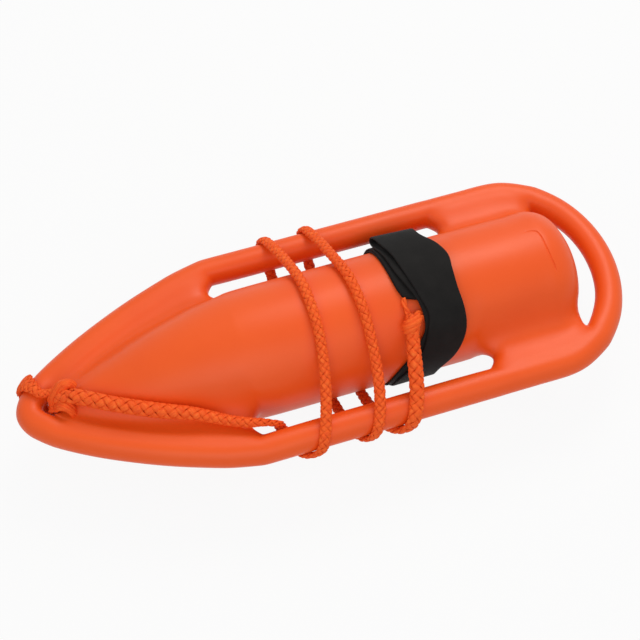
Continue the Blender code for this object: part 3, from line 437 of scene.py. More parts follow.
def moulded_material():
    """Matte moulded plastic: slight clouding of the colour, fine grain, faint scuffs, a parting line."""
    s = Shading("moulded_orange", 0.42, 0.32)
    where = s.coordinates()
    cloud = s.noise(where, 9.0, 4.0, 0.55)
    base = s.ramp(cloud, (0.30, (0.815, 0.086, 0.0065)), (0.72, (0.855, 0.100, 0.0085)))
    speck = s.noise(where, 420.0, 2.0, 0.6)
    s.set("Base Color", s.mix(s.span(speck, 0.0, 0.10), base, (0.95, 0.15, 0.03, 1.0)))
    scuff = s.noise(s.mapping(where, (14.0, 60.0, 60.0)), 1.0, 5.0, 0.65)
    s.set("Roughness", s.span(scuff, 0.36, 0.48))
    grain = s.bump(s.noise(where, 1400.0, 2.0, 0.6), 0.10, 0.0002)
    away = s.math("ABSOLUTE", s.node("SeparateXYZ", Vector=where).outputs["Z"])
    seam = s.math("SUBTRACT", 1.0, s.math("DIVIDE", away, 0.0007))
    s.set("Normal", s.bump(s.math("MAXIMUM", seam, 0.0), 0.5, 0.00025, grain))
    return s.material


def rope_material():
    """Plaited fibre strands: long fine fibres along each strand, and painted shade that darkens it where
    it dives under.
    """
    s = Shading("rope_orange", 0.60, 0.18)
    where = s.coordinates("UV")
    fibre = s.noise(s.mapping(where, (16.0, 0.9, 1.0)), 1.0, 3.0, 0.6)
    lock = s.noise(s.mapping(where, (3.0, 0.55, 1.0)), 1.0, 2.0, 0.5)
    tint = s.math("ADD", s.math("MULTIPLY", fibre, 0.6), s.math("MULTIPLY", lock, 0.4))
    base = s.ramp(tint, (0.30, (0.780, 0.062, 0.009)), (0.55, (0.920, 0.125, 0.016)),
                  (0.78, (0.970, 0.230, 0.045)))
    # Painted shade: the colour is mixed towards a dark red where a strand lies under the others, most on
    # the core.
    deep = s.node("Attribute", {"attribute_name": "deep"}).outputs["Fac"]
    s.set("Base Color", s.mix(s.math("MULTIPLY", deep, 0.55), base, (0.42, 0.020, 0.006, 1.0)))
    s.set("Normal", s.bump(fibre, 0.75, 0.00045, s.bump(lock, 0.5, 0.0006)))
    return s.material


def webbing_material():
    """Black polyamide webbing: fine twill ribs with a soft sheen."""
    s = Shading("webbing_black", 0.75, 0.16)
    where = s.coordinates("UV")
    parts = s.node("SeparateXYZ", Vector=where)
    across, along = parts.outputs["X"], parts.outputs["Y"]
    rib = s.math("SINE", s.math("MULTIPLY", s.math("ADD", across, along), 2*pi/0.0014))
    cross = s.math("SINE", s.math("MULTIPLY", along, 2*pi/0.0011))
    weave = s.math("ADD", s.math("MULTIPLY", rib, 0.6), s.math("MULTIPLY", cross, 0.4))
    cloud = s.noise(where, 45.0, 3.0, 0.6)
    base = s.ramp(s.math("ADD", cloud, s.math("MULTIPLY", weave, 0.10)),
                  (0.30, (0.0036, 0.0030, 0.0028)), (0.75, (0.0080, 0.0070, 0.0066)))
    s.set("Base Color", base)
    s.set("Sheen Weight", 0.03)
    s.set("Sheen Roughness", 0.5)
    s.set("Normal", s.bump(weave, 0.35, 0.00016))
    return s.material


def plug_material():
    s = Shading("plug_black", 0.42, 0.5)
    where = s.coordinates()
    grain = s.noise(where, 900.0, 3.0, 0.6)
    s.set("Base Color", s.ramp(grain, (0.3, (0.020, 0.020, 0.021)), (0.7, (0.034, 0.034, 0.036))))
    s.set("Roughness", s.span(s.noise(where, 160.0, 4.0, 0.6), 0.34, 0.55))
    s.set("Normal", s.bump(grain, 0.15, 0.0002))
    return s.material


def foam_material():
    s = Shading("foam_cream", 0.95, 0.2)
    where = s.coordinates()
    cells = s.node("TexVoronoi", Vector=where, Scale=700.0).outputs["Distance"]
    s.set("Base Color", s.ramp(cells, (0.1, (0.66, 0.57, 0.36)), (0.6, (0.84, 0.77, 0.56))))
    s.set("Normal", s.bump(cells, 0.5, 0.0005))
    return s.material


# The can's plan

def rail_point(s):
    """Rail centreline and outward normal in plan: 0 to 1 the nose, to 2 the side, to 3 the tail."""
    if s <= 1.0:
        nodes = (Vector((RAIL_RADIUS, 0.0)), Vector((RAIL_RADIUS, NOSE_BLUNTNESS)),
                 Vector((NOSE_LENGTH - SHOULDER_EASE, RAIL_SPREAD)), Vector((NOSE_LENGTH, RAIL_SPREAD)))
        u = 1.0 - s
        point = u**3*nodes[0] + 3*s*u*u*nodes[1] + 3*s*s*u*nodes[2] + s**3*nodes[3]
        slope = u*u*(nodes[1] - nodes[0]) + 2*s*u*(nodes[2] - nodes[1]) + s*s*(nodes[3] - nodes[2])
        slope.normalize()
        return point, Vector((-slope.y, slope.x))
    if s <= 2.0:
        x = NOSE_LENGTH + (s - 1.0)*(TAIL_START_X - NOSE_LENGTH)
        return Vector((x, RAIL_SPREAD)), Vector((0.0, 1.0))
    turn = (s - 2.0)*pi/2
    point = Vector((TAIL_START_X + TAIL_ARC_DEPTH*sin(turn), RAIL_SPREAD*cos(turn)))
    normal = Vector((sin(turn)/TAIL_ARC_DEPTH, cos(turn)/RAIL_SPREAD))
    return point, normal.normalized()


def station_at(x, inset):
    """The station whose point, inset from the rail's centreline, lies at x."""
    low, high = 0.2, 2.9
    for _ in range(40):
        middle = (low + high)/2
        point, normal = rail_point(middle)
        if (point - inset*normal).x < x:
            low = middle
        else:
            high = middle
    return (low + high)/2


def hull_radius(x):
    if x < HULL_FULL_X:
        share = (x - HULL_NOSE_X)/(HULL_FULL_X - HULL_NOSE_X)
        return HULL_RADIUS*(1 - (1 - share)**HULL_NOSE_FULLNESS)
    start = STERN_X - STERN_DEPTH
    if x > start:
        return HULL_RADIUS*sqrt(max(0.0, 1 - ((x - start)/STERN_DEPTH)**2))
    return HULL_RADIUS


# The can's surface, as points that it passes through in one quarter of the can

def rail_ring(s, height=0.0):
    """Outer edge, outer top, inner top and inner joint of the rail at a station."""
    point, normal = rail_point(s)
    thinning = loop_thinning(s)
    radius = RAIL_RADIUS - thinning
    low, high = RAIL_TOP_DEGREES
    turn = radians(low + (high - low)*height/WEB_HALF_THICKNESS)
    rows = [(radius, 0.0)]
    for angle in (radians(60), turn):
        rows.append((radius*cos(angle), radius*sin(angle)))
    rows.append((thinning - joint_inset(height), height))
    return [Vector((point.x + (out + thinning)*normal.x, point.y + (out + thinning)*normal.y, z))
            for out, z in rows]


def loop_thinning(s):
    """How much thinner than the rails the hand loop is; its outer edge stays."""
    share = share_between(s, *LOOP_THIN_STATIONS)
    return LOOP_THINNING*share*share*(3 - 2*share)


def joint_inset(height):
    return sqrt(RAIL_RADIUS**2 - height**2) + RAIL_FILLET*height/WEB_HALF_THICKNESS


def hull_ring(x, height=0.0):
    """Side joint, two flank points and crown of the hull at x, raised softly onto a web's height."""
    radius = hull_radius(x)
    first = asin(min(HULL_FILLET_LIMIT, HULL_FILLET_RISE*height/radius))
    ring = []
    for step in range(4):
        angle = first + (pi/2 - first)*step/3
        rise = radius*sin(angle)
        top = (rise**HULL_SOFTNESS + height**HULL_SOFTNESS)**(1/HULL_SOFTNESS)
        ring.append(Vector((x, radius*cos(angle), top)))
    ring[0].y += HULL_FILLET*height/WEB_HALF_THICKNESS
    ring[3].y = 0.0
    return ring


def web_end(x, direction, corner=1.0):
    """Columns of a web's rounded end at x, from its edge inwards."""
    reach = WEB_HALF_THICKNESS
    back, across = WEB_RIM_SHARES
    rows = ((x, SLOT_CORNER*direction, 0.0),
            (x - back*direction*reach, across*SLOT_CORNER*direction, RIM_HEIGHT*reach),
            (x - WEB_END_REACH*direction, 0.0, reach))
    return [web_column(at, corner*shift, height) for at, shift, height in rows]


def web_run(start, end, shares, height=WEB_HALF_THICKNESS):
    """Columns at shares of the way from start to end."""
    return [web_column(start + share*(end - start), 0.0, height) for share in shares]


def on_middle(ring):
    """The ring, moved onto the can's middle plane."""
    for point in ring:
        point.y = 0.0
    return ring


def hole_point(radius, degrees, height=0.0):
    """A point round the nose hole; it lies exactly on the middle plane at 0 and 180 degrees."""
    turn = radians(degrees)
    across = 0.0 if degrees in (0, 180) else radius*sin(turn)
    return Vector((NOSE_HOLE_X + radius*cos(turn), across, height))


def quarter_columns():
    """Columns of the quarter: [rail ring, web point or None, hull ring or None, web to the next]."""
    columns = []
    for station, degrees in zip(NOSE_STATIONS, (180, 150, 120, 90)):
        ring = rail_ring(station) if station else on_middle(rail_ring(station))
        ring[3] = hole_point(NOSE_HOLE_RADIUS, degrees)
        columns.append([ring, None, None, False])
    edge = [hole_point(NOSE_HOLE_RADIUS, HOLE_EDGE_DEGREES*(4 - i)/4) for i in range(5)]
    columns[3][1:] = [edge[0], edge[1:], True]
    rim_radius = NOSE_HOLE_RADIUS + WEB_HALF_THICKNESS/3
    rim_height = RIM_HEIGHT*WEB_HALF_THICKNESS
    rim = [hole_point(rim_radius, HOLE_RIM_DEGREES*(5 - i)/5, rim_height) for i in range(6)]
    columns.append([rail_ring(NOSE_STATIONS[4])[:3] + rim[:1], rim[1], rim[2:], True])
    columns += web_run(NOSE_HOLE_X + rim_radius, SLOT_FRONT_X, NOSE_WEB_SHARES)
    columns += web_end(SLOT_FRONT_X, 1)[::-1]
    columns[-1][3] = False
    for rail, _, hull, _ in web_run(SLOT_FRONT_X, SLOT_REAR_X, SLOT_SHARES, 0.0):
        columns.append([rail, None, hull, False])
    columns += web_end(SLOT_REAR_X, -1)
    columns += web_run(SLOT_REAR_X + WEB_END_REACH, TAIL_SLOT_FRONT_X - WEB_END_REACH, STERN_WEB_SHARES)
    columns += web_end(TAIL_SLOT_FRONT_X, 1, TAIL_CORNER_SHARE)[::-1]
    columns[-1][3] = False
    first = station_at(TAIL_SLOT_FRONT_X, RAIL_RADIUS)
    rings = [rail_ring(first + (3.0 - first)*step/4) for step in (1, 2, 3, 4)]
    on_middle(rings[-1])
    return columns + [[ring, None, None, False] for ring in rings]


def web_column(x, shift, height):
    """A column that crosses rail, web and hull near x."""
    station = station_at(x + shift, joint_inset(height))
    rail = rail_ring(station, height)
    hull = hull_ring(x + HULL_CORNER_SHARE*shift, height)
    web = (rail[3] + hull[0])/2
    web.x = x
    web.z = height*(1 - WEB_DIP_SHARE)
    return [rail, web, hull, True]


def flipped(point, side, level):
    return Vector((point.x, side*point.y, level*point.z))


def can_surface():
    """The points that the can's closed surface passes through, and its four-cornered faces."""
    points, faces = {}, []

    def index(point):
        key = tuple(round(value*1e6) for value in point)
        return points.setdefault(key, (len(points), point))[0]

    def quad(corners, mirrored=True):
        """Adds a face of the quarter, and its images in the two middle planes."""
        for side, level in ((1, 1), (-1, 1), (1, -1), (-1, -1))[:4 if mirrored else 1]:
            face = [index((p[0], side*p[1], level*p[2])) for p in corners]
            faces.append(face[:1] + face[:0:-1] if side*level > 0 else face)

    def strip(here, ahead):
        for row in range(3):
            quad((here[row], ahead[row], ahead[row + 1], here[row + 1]))

    columns = quarter_columns()
    for here, ahead in zip(columns, columns[1:]):
        strip(here[0], ahead[0])
        if here[3] and ahead[1] is not None:
            quad((here[0][3], ahead[0][3], ahead[1], here[1]))
            quad((here[1], ahead[1], ahead[2][0], here[2][0]))
        if here[2] is not None and ahead[2] is not None:
            strip(here[2], ahead[2])
    rings = [[column[2] for column in columns if column[2] is not None][-1]]
    rings += [hull_ring(STERN_X - share*STERN_DEPTH) for share in STERN_RING_SHARES]
    for here, ahead in zip(rings, rings[1:]):
        strip(here, ahead)

    last = rings[-1]
    inner = STERN_CENTRE_SHARE*hull_radius(last[0].x)
    side = Vector((STERN_X, inner, 0.0))
    crown = Vector((STERN_X, 0.0, inner))
    quad((last[1], side, crown, last[2]))
    for sign in (1, -1):
        flank = [flipped(last[1], sign, 1), flipped(last[0], sign, 1),
                 flipped(last[1], sign, -1), flipped(side, sign, 1)]
        top = [flipped(crown, 1, sign), flipped(last[2], -1, sign),
               flipped(last[3], 1, sign), flipped(last[2], 1, sign)]
        for face in (flank, top):
            quad(face[::sign], mirrored=False)
    quad((side, flipped(crown, 1, -1), flipped(side, -1, 1), crown), mirrored=False)
    return np.array([point for _, point in points.values()], float), faces


def control_points(points, faces):
    """Control points whose smooth subdivision passes through the points."""
    weights = np.zeros((len(points), len(points)))
    edges = [set() for _ in points]
    for face in faces:
        for corner, here in enumerate(face):
            edges[here].update((face[corner - 1], face[(corner + 1) % 4]))
            weights[here, face[(corner + 2) % 4]] += 1
    for here, others in enumerate(edges):
        valence = len(others)
        weights[here, here] += valence*valence
        for other in others:
            weights[here, other] += 4
        weights[here] /= valence*(valence + 5)
    return np.linalg.solve(weights, points)


def cut(item, cutter):
    """Takes a cutter's volume out of a piece, and the cutter out of the scene."""
    modifier = item.modifiers.new("cut", "BOOLEAN")
    modifier.operation = "DIFFERENCE"
    modifier.object = cutter
    apply_modifiers(item)
    bpy.data.objects.remove(cutter, do_unlink=True)


def make_skin(material):
    """The can's smooth outside, with the plug's seat and the label groove cut into it."""
    points, faces = can_surface()
    skin = link(raw_mesh("can_skin", control_points(points, faces).tolist(), faces))
    smooth = skin.modifiers.new("smooth", "SUBSURF")
    smooth.levels = SKIN_LEVELS
    apply_modifiers(skin)
    skin.data.materials.append(material)

    seat_radius = PLUG_HEAD_RADIUS + GAP
    seat = HULL_RADIUS - sqrt(HULL_RADIUS**2 - seat_radius**2) + PLUG_HEAD_THICKNESS + GAP
    depth = seat + HULL_RADIUS/2
    builder = bmesh.new()
    bmesh.ops.create_cone(builder, cap_ends=True, segments=SEAT_SEGMENTS, radius1=seat_radius,
                          radius2=seat_radius, depth=depth)
    bmesh.ops.translate(builder, verts=builder.verts, vec=(FILLER_X, 0.0, -HULL_RADIUS + seat - depth/2))
    cut(skin, link(built_mesh("seat_cutter", builder)))

    run = []
    for x, y, lift in GROOVE_RUN:
        over_hull = sqrt(hull_radius(x)**2 - y*y)
        run.append((x, y, over_hull + GROOVE_OVER_SKIN + lift*GROOVE_RADIUS))
    tube = StrandMesh()
    tube.add(resample(run, GROOVE_STEP), UP, GROOVE_RADIUS, GROOVE_RADIUS, sides=GROOVE_SIDES)
    cut(skin, link(tube.mesh("groove_cutter")))
    skin.data.shade_smooth()
    skin.data.set_sharp_from_angle(angle=radians(SHARP_DEGREES))
    return place(skin)


# Curves and strands

def steps_along(points):
    """Distance of each point from the one before, with none for the first."""
    return np.concatenate([[0.0], np.linalg.norm(np.diff(points, axis=0), axis=1)])


def resample(points, step):
    """Even points on the smooth curve through the points, with all the values that go with them."""
    values = np.array(points, float)
    knots = np.cumsum(steps_along(values[:, :3]))
    count = max(2, int(round(knots[-1]/step)))
    return smooth_curve(knots, values, np.linspace(0.0, knots[-1], count + 1))


def smooth_curve(knots, rows, wanted):
    """Cubic through rows of values at uneven knots, with slopes from the neighbouring spans."""
    knots = np.array(knots, float)
    rows = np.array(rows, float)
    spans = np.diff(knots)[:, None]
    rises = np.diff(rows, axis=0)/spans
    slopes = np.empty_like(rows)
    slopes[0], slopes[-1] = rises[0], rises[-1]
    slopes[1:-1] = (rises[:-1]*spans[1:] + rises[1:]*spans[:-1])/(spans[:-1] + spans[1:])
    here = np.clip(np.searchsorted(knots, wanted, side="right") - 1, 0, len(spans) - 1)
    span = spans[here]
    share = (wanted - knots[here])[:, None]/span
    square, cube = share*share, share**3
    return ((2*cube - 3*square + 1)*rows[here] + (cube - 2*square + share)*span*slopes[here]
            + (3*square - 2*cube)*rows[here + 1] + (cube - square)*span*slopes[here + 1])


def unit(vectors):
    return vectors/np.maximum(np.linalg.norm(vectors, axis=-1, keepdims=True), 1e-12)


def crosswise(points, normals):
    """Directions across a curve, square to it and to its normals."""
    return unit(np.cross(np.gradient(points, axis=0), normals))


def carried_frames(points):
    """Two crosswise directions, carried along a curve without twist."""
    tangents = unit(np.gradient(points, axis=0))
    sides = np.empty_like(points)
    sides[0] = np.cross(tangents[0], UP)
    if np.linalg.norm(sides[0]) < 0.1:
        sides[0] = np.cross(tangents[0], (0.0, 1.0, 0.0))
    sides[0] /= np.linalg.norm(sides[0])
    for i in range(1, len(points)):
        side = sides[i - 1] - tangents[i]*np.dot(sides[i - 1], tangents[i])
        sides[i] = side/np.linalg.norm(side)
    return sides, np.cross(tangents, sides)


class StrandMesh:
    """Swept strands in one mesh, with fibre coordinates and painted shade for their depth in the plait.
    """

    def __init__(self):
        self.vertices = []
        self.faces = []
        self.uvs = []
        self.deep = []
        self.count = 0

    def add(self, centres, outward, half_width, half_thickness, sides=STRAND_SIDES, deep=0.0, start=0.0,
            squeeze=None):
        """Sweeps a strand; start is where its fibre pattern begins, squeeze reshapes its rings, and a
        shade value from none to one darkens it as painted shade.
        """
        length = len(centres)
        width, thickness = (np.broadcast_to(size, length)[:, None, None]
                            for size in (half_width, half_thickness))
        tangents = unit(np.gradient(centres, axis=0))
        across = unit(np.cross(tangents, outward))
        lift = unit(np.cross(across, tangents))
        turns = np.arange(sides)*2*np.pi/sides - np.pi/2
        ring = (centres[:, None] + across[:, None]*np.cos(turns)[None, :, None]*width
                + lift[:, None]*np.sin(turns)[None, :, None]*thickness)
        if squeeze is not None:
            ring = squeeze(ring)
        self.vertices.append(ring.reshape(-1, 3))
        self.deep.append(np.repeat(np.broadcast_to(deep, length), sides))
        along = np.cumsum(steps_along(centres))/FIBRE_LENGTH + start
        for i in range(length - 1):
            for j in range(sides):
                a, b = self.count + i*sides + j, self.count + i*sides + (j + 1) % sides
                self.faces.append((a, a + sides, b + sides, b))
                u, v = j/sides, (j + 1)/sides
                self.uvs += (u, along[i], u, along[i + 1], v, along[i + 1], v, along[i])
        for first, at in ((0, 0), ((length - 1)*sides, -1)):
            corners = [self.count + first + j for j in range(sides)]
            self.faces.append(tuple(reversed(corners) if at else corners))
            for j in range(sides):
                self.uvs += (j/sides, along[at])
        self.count += length*sides

    def mesh(self, name):
        points = np.concatenate(self.vertices).tolist()
        mesh = raw_mesh(name, points, self.faces, "fibre", self.uvs)
        # Stored for the rope's material, which darkens the colour by it as painted shade.
        attribute = mesh.attributes.new("deep", "FLOAT", "POINT")
        attribute.data.foreach_set("value", np.concatenate(self.deep).astype(np.float32))
        mesh.shade_smooth()
        return mesh

    def piece(self, name, material):
        return place(link(self.mesh(name)), material)


def squeezer(points, normals, press, widening):
    """Presses rings round a curve flat against what lies below, and spreads them sideways."""
    normals = unit(normals)
    sides = crosswise(points, normals)

    def squeeze(ring):
        offset = ring - points[:, None]
        up = (offset*normals[:, None]).sum(axis=2)
        side = (offset*sides[:, None]).sum(axis=2)
        return (ring + normals[:, None]*(up*(press - 1)[:, None])[..., None]
                + sides[:, None]*(side*widening[:, None])[..., None])

    return squeeze


def add_plait(strands, points, radii, turn=0.0, floor=None, squeeze=None):
    """Plaits eight strands round the curve, from a turn in radians; a floor presses them flat."""
    sides, ups = carried_frames(points)
    phase = turn + np.cumsum(steps_along(points)*2*np.pi/(PLAIT_PITCH*radii))
    wave = np.cos(4*phase)
    wave = wave/np.sqrt(wave*wave + PLAIT_SOFTNESS)*sqrt(1 + PLAIT_SOFTNESS)
    slow, apart = PLAIT_UNEVEN_WAVE
    along, other_way = PLAIT_FIBRE_STARTS
    for direction in (1, -1):
        for number in range(4):
            angle = direction*phase + number*np.pi/2
            outward = sides*np.cos(angle)[:, None] + ups*np.sin(angle)[:, None]
            reach = radii*(PLAIT_CENTRE + direction*PLAIT_LIFT*wave)
            uneven = 1 + PLAIT_UNEVENNESS*np.sin(slow*phase + apart*number + direction)
            centres = points + outward*reach[:, None]
            if floor is not None:
                centres[:, 2] = np.maximum(centres[:, 2], floor + radii*PLAIT_HALF_THICKNESS)
            # Each strand carries painted shade that grows where it dives under the strands crossing it.
            strands.add(centres, outward, radii*PLAIT_HALF_WIDTH*uneven, radii*PLAIT_HALF_THICKNESS,
                        deep=np.clip(0.5 - 0.5*direction*wave, 0.0, 1.0)**PAINTED_SHADE_POWER,
                        start=along*number + other_way*(direction > 0), squeeze=squeeze)
    # The core lies under all the strands and carries full painted shade.
    strands.add(points, ups, radii*PLAIT_CORE, radii*PLAIT_CORE, deep=1.0, squeeze=squeeze)


# Rope

def wheel(centre, radius, start, end, press, nominal):
    """Rows of y, z, outward y, outward z, press and rope radius on an arc round a centre."""
    angles = np.linspace(start, end, WHEEL_STEPS + 1)
    return [(centre + radius*cos(a), radius*sin(a), cos(a), sin(a), press, nominal)
            for a in angles]


def winding():
    """The rope's dive and turns round rails and hull, up to the last tangent, as rows of place,
    outward direction, press and radius."""
    top = pi/2 + BELT_ANGLE
    under = 2*pi - top
    flat = RAIL_ROPE_RADIUS/ROPE_RADIUS
    section = wheel(-RAIL_SPREAD, RAIL_BELT_RADIUS, -DIVE_START_ANGLE, -top, flat, ROPE_RADIUS)
    keys = [(0, DIVE_X)]

    def lay(rows, start, middle=None, end=None, joined=False):
        """Adds an arc, and the places along the can of its start, middle and end."""
        section.extend(rows[joined:])
        last = len(section) - 1
        for back, x in ((len(rows) - 1, start), (WHEEL_STEPS//2, middle), (0, end)):
            if x is not None:
                keys.append((last - back, x))

    rail, hull = RAIL_BELT_RADIUS, HULL_BELT_RADIUS
    for number, run in enumerate(RUN_X[:-1]):
        near, far = run[3:5]
        lay(wheel(-RAIL_SPREAD, rail, under, top, flat, ROPE_RADIUS), *run[:3], number == 0)
        lay(wheel(0.0, hull, top, pi - top, 1.0, ROPE_RADIUS), near, (near + far)/2 + HULL_RUN_BOW, far)
        lay(wheel(RAIL_SPREAD, rail, pi - top, top - pi, flat, ROPE_RADIUS), *run[5:8])
        lay(wheel(0.0, hull, top - pi, -top, 1.0, ROPE_RADIUS), run[8], None, run[9])
    rail += RAIL_TAIL_ROPE_RADIUS - RAIL_ROPE_RADIUS
    tail_flat = RAIL_TAIL_ROPE_RADIUS/TAIL_SPLICE_RADIUS
    lay(wheel(-RAIL_SPREAD, rail, under, top, tail_flat, TAIL_SPLICE_RADIUS), *RUN_X[-1][:3])
    hull = hull + TAIL_SPLICE_RADIUS - ROPE_RADIUS
    lay(wheel(0.0, hull, top, top, 1.0, TAIL_SPLICE_RADIUS)[:1], RUN_X[-1][3])
    section = np.array(section)
    along = np.cumsum(steps_along(section[:, :2]))
    xs = smooth_curve([along[i] for i, _ in keys], [[x] for _, x in keys], along)
    return np.column_stack([xs, section[:, :2], np.zeros(len(xs)), section[:, 2:]])


def nose_run():
    """The rope along the nose, laid on the hull and the web, as the same kind of rows."""
    rows = []
    for x, share, lift in NOSE_RUN:
        taper = share_between(x, SPLICE_END_X, SPLICE_TAPER_END_X)
        press = share_between(x, *RAIL_PRESS_X)
        nominal = SPLICE_RADIUS + (ROPE_RADIUS - SPLICE_RADIUS)*taper
        radius = nominal + (RAIL_ROPE_RADIUS - ROPE_RADIUS)*press
        y = -share*(RAIL_SPREAD - RAIL_BELT_RADIUS)
        over_hull = sqrt(max(0.0, (hull_radius(x) + radius)**2 - y*y))
        z = max(over_hull, WEB_HALF_THICKNESS + radius) + lift
        away = Vector((y + RAIL_SPREAD, z)).normalized()
        rows.append((x, y, z, 0.0, away.x, away.y, radius/nominal, nominal))
    return rows


def knot_place(turns):
    """Centre of the knot at the sling, the rope's direction into it, and outward from the hull."""
    direction = unit(turns[-1] - turns[-2])
    angle = pi/2 + BELT_ANGLE
    outward = np.array((0.0, cos(angle), sin(angle)))
    centre = turns[-1] + outward*(KNOT_RADIUS - TAIL_SPLICE_RADIUS) - direction*KNOT_SETBACK
    return centre, direction, outward


def make_rope(material):
    """The whole rope from the splice's throat, round the can, to the knot at the sling."""
    turns = winding()
    centre, direction, outward = knot_place(turns[:, :3])
    ends = [(*(centre - direction*KNOT_LEAD), *outward, 1.0, TAIL_SPLICE_RADIUS),
            (*(centre + direction*KNOT_OVERRUN), *outward, 1.0, KNOT_NECK*TAIL_SPLICE_RADIUS)]
    line = resample(np.concatenate([nose_run(), turns[:-1], ends]), PLAIT_STEP)
    points = line[:, :3]
    squeeze = squeezer(points, line[:, 3:6], line[:, 6], PRESSED_WIDENING*(1 - line[:, 6]))
    strands = StrandMesh()
    add_plait(strands, points, line[:, 7], floor=-AXIS_HEIGHT, squeeze=squeeze)
    for block in strands.vertices:
        block[:, 2] = np.maximum(block[:, 2], -AXIS_HEIGHT)
    print("rope: %.3f m" % steps_along(points).sum())
    return strands.piece("plaited_rope", material), (centre, direction, outward)


def add_bundle(strands, points, count, spread, start):
    """Loose strands side by side along a curve, the outer ones lower, drawn together at both ends."""
    line = resample(points, FINE_STEP)
    across = crosswise(line, UP)
    up = unit(np.cross(across, np.gradient(line, axis=0)))
    share = np.linspace(0.0, 1.0, len(line))
    fan = BUNDLE_FAN[0] + BUNDLE_FAN[1]*np.sin(np.pi*share)
    wave, apart = BUNDLE_SWAY_WAVE
    for number in range(count):
        aside = 2*(number + 0.5)/count - 1
        sway = BUNDLE_SWAY*np.sin(wave*share + apart*number + start)
        moved = line + across*(spread*(aside + sway)*fan)[:, None] - up*(BUNDLE_DROP*spread*aside*aside)
        strands.add(moved, up, *BUNDLE_STRAND, start=start + BUNDLE_FIBRE_STARTS[2]*number)


def add_wraps(strands, centre, axis, outward):
    """Strands wound side by side round the knot, leaning over it."""
    side = unit(np.cross(axis, outward))
    turn = np.linspace(0.0, 2*np.pi, WRAP_STEPS)
    out = side*np.cos(turn)[:, None] + outward*np.sin(turn)[:, None]*WRAP_SQUASH
    for number in range(WRAP_COUNT):
        share = (number + 0.5)/WRAP_COUNT - 0.5
        reach = WRAP_REACH*sqrt(1 - (WRAP_ROUNDNESS*share)**2)
        shift = share*WRAP_SPAN + WRAP_LEAN*np.cos(turn + WRAP_LEAN_START)
        strands.add(centre + out*reach + axis*shift[:, None], unit(out), *WRAP_STRAND,
                    start=WRAP_FIBRE_STARTS[0] + WRAP_FIBRE_STARTS[1]*number)


def make_eye(material):
    """The eye round the nose rim and the throat where its legs tuck into the splice."""
    radius = RAIL_RADIUS + GAP + EYE_ROPE_RADIUS
    route = [(*point, *UP, 0.0) for point in EYE_START]
    for degrees in range(*EYE_DEGREES):
        angle = radians(degrees)
        centre, normal = rail_point(EYE_STATION + EYE_SLANT*(1 - cos(angle))/2)
        away = Vector((-cos(angle)*normal.x, -cos(angle)*normal.y, sin(angle)))
        widening = EYE_RIM_WIDENING*abs(sin(angle/2))**EYE_WIDENING_POWER
        route.append((*(centre.to_3d() + away*radius), *away, widening))
    route += [(*point, *UP, 0.0) for point in EYE_END]
    line = resample(route, PLAIT_STEP)
    flat = np.ones(len(line))
    strands = StrandMesh()
    add_plait(strands, line[:, :3], EYE_ROPE_RADIUS*flat, turn=EYE_TURN,
              squeeze=squeezer(line[:, :3], line[:, 3:6], flat, line[:, 6]))
    for rows in (SPLICE_BODY, HOLE_FILLING):
        line = resample(rows, PLAIT_STEP)
        add_plait(strands, line[:, :3], line[:, 3], turn=SPLICE_TURN)
    for number, bundle in enumerate(THROAT_BUNDLES):
        add_bundle(strands, *bundle, BUNDLE_FIBRE_STARTS[0] + BUNDLE_FIBRE_STARTS[1]*number)
    return strands.piece("spliced_eye", material)


def hull_line(rows):
    """A fine line over the hull's straight part, through rows of place along the can, degrees from
    the crown and lift, and its outward directions."""
    points = []
    for x, degrees, lift in rows:
        turn = radians(degrees)
        points.append((x, (HULL_RADIUS + lift)*sin(turn), (HULL_RADIUS + lift)*cos(turn)))
    line = resample(points, FINE_STEP)
    return line, unit(line*np.array((0.0, 1.0, 1.0)))


def make_knot(material, centre, direction, outward):
    """The knot at the sling: wraps, core, tucked strands and the thin strand into the sling's fold."""
    strands = StrandMesh()
    add_wraps(strands, centre, direction, unit(outward - direction*np.dot(outward, direction)))
    line = resample([(*(centre + direction*along), radius) for along, radius in KNOT_CORE], FINE_STEP)
    add_plait(strands, line[:, :3], line[:, 3], turn=KNOT_TURN)
    for number, (rows, width, thickness) in enumerate(KNOT_TUCKS):
        strands.add(*hull_line(rows), width, thickness, start=TUCK_FIBRE_START*number)
    line, out = hull_line(KNOT_THIN_RUN)
    twist = np.linspace(0.0, 2*np.pi*THIN_STRAND_TURNS, len(line))
    across = crosswise(line, out)
    for offset in THIN_STRAND_OFFSETS:
        moved = (line + across*(offset*np.cos(twist))[:, None]
                 + out*(offset*np.sin(twist)*THIN_STRAND_FLATNESS)[:, None])
        strands.add(moved, out, *THIN_STRAND, start=THIN_FIBRE_START*offset)
    return strands.piece("sling_knot", material)


# Sling

def sling_point(angle, side, outer_ply, outward):
    """A point across the webbing, outward from the double band's inner face."""
    route = np.array(SLING_ROUTE, float)
    first, last = route[0, 0], route[-1, 0]
    slant = max(0.0, 1 - (angle - first)/FOLD_SLANT_REACH_DEGREES)
    angle = angle - FOLD_SLANT_DEGREES*side*slant
    held = np.array([min(max(angle, first), last)])
    *edges, hang, layer = smooth_curve(route[:, 0], route[:, 1:], held)[0]
    left, right = edges[2:] if outer_ply else edges[:2]
    turn = radians(angle)
    radius = BAND_RADIUS + max(0.0, hang)*STRAP_SAG + max(0.0, layer)*STRAP_LAYER_LIFT + outward
    return np.array((left + (right - left)*(side + 1)/2, radius*sin(turn), radius*cos(turn)))


def bight_share(angle):
    return min(1.0, max(0.0, 1 - (SLING_ROUTE[-1][0] - angle)/BIGHT_OPENING_DEGREES))


def wrinkle(angle, side, ply):
    """Slow unevenness of the hand-wound webbing."""
    a = radians(angle)
    return WRINKLE*sum(0.5*sin(turns*a + across*side + shift + layer*ply)
                       for turns, across, shift, layer in WRINKLE_WAVES)


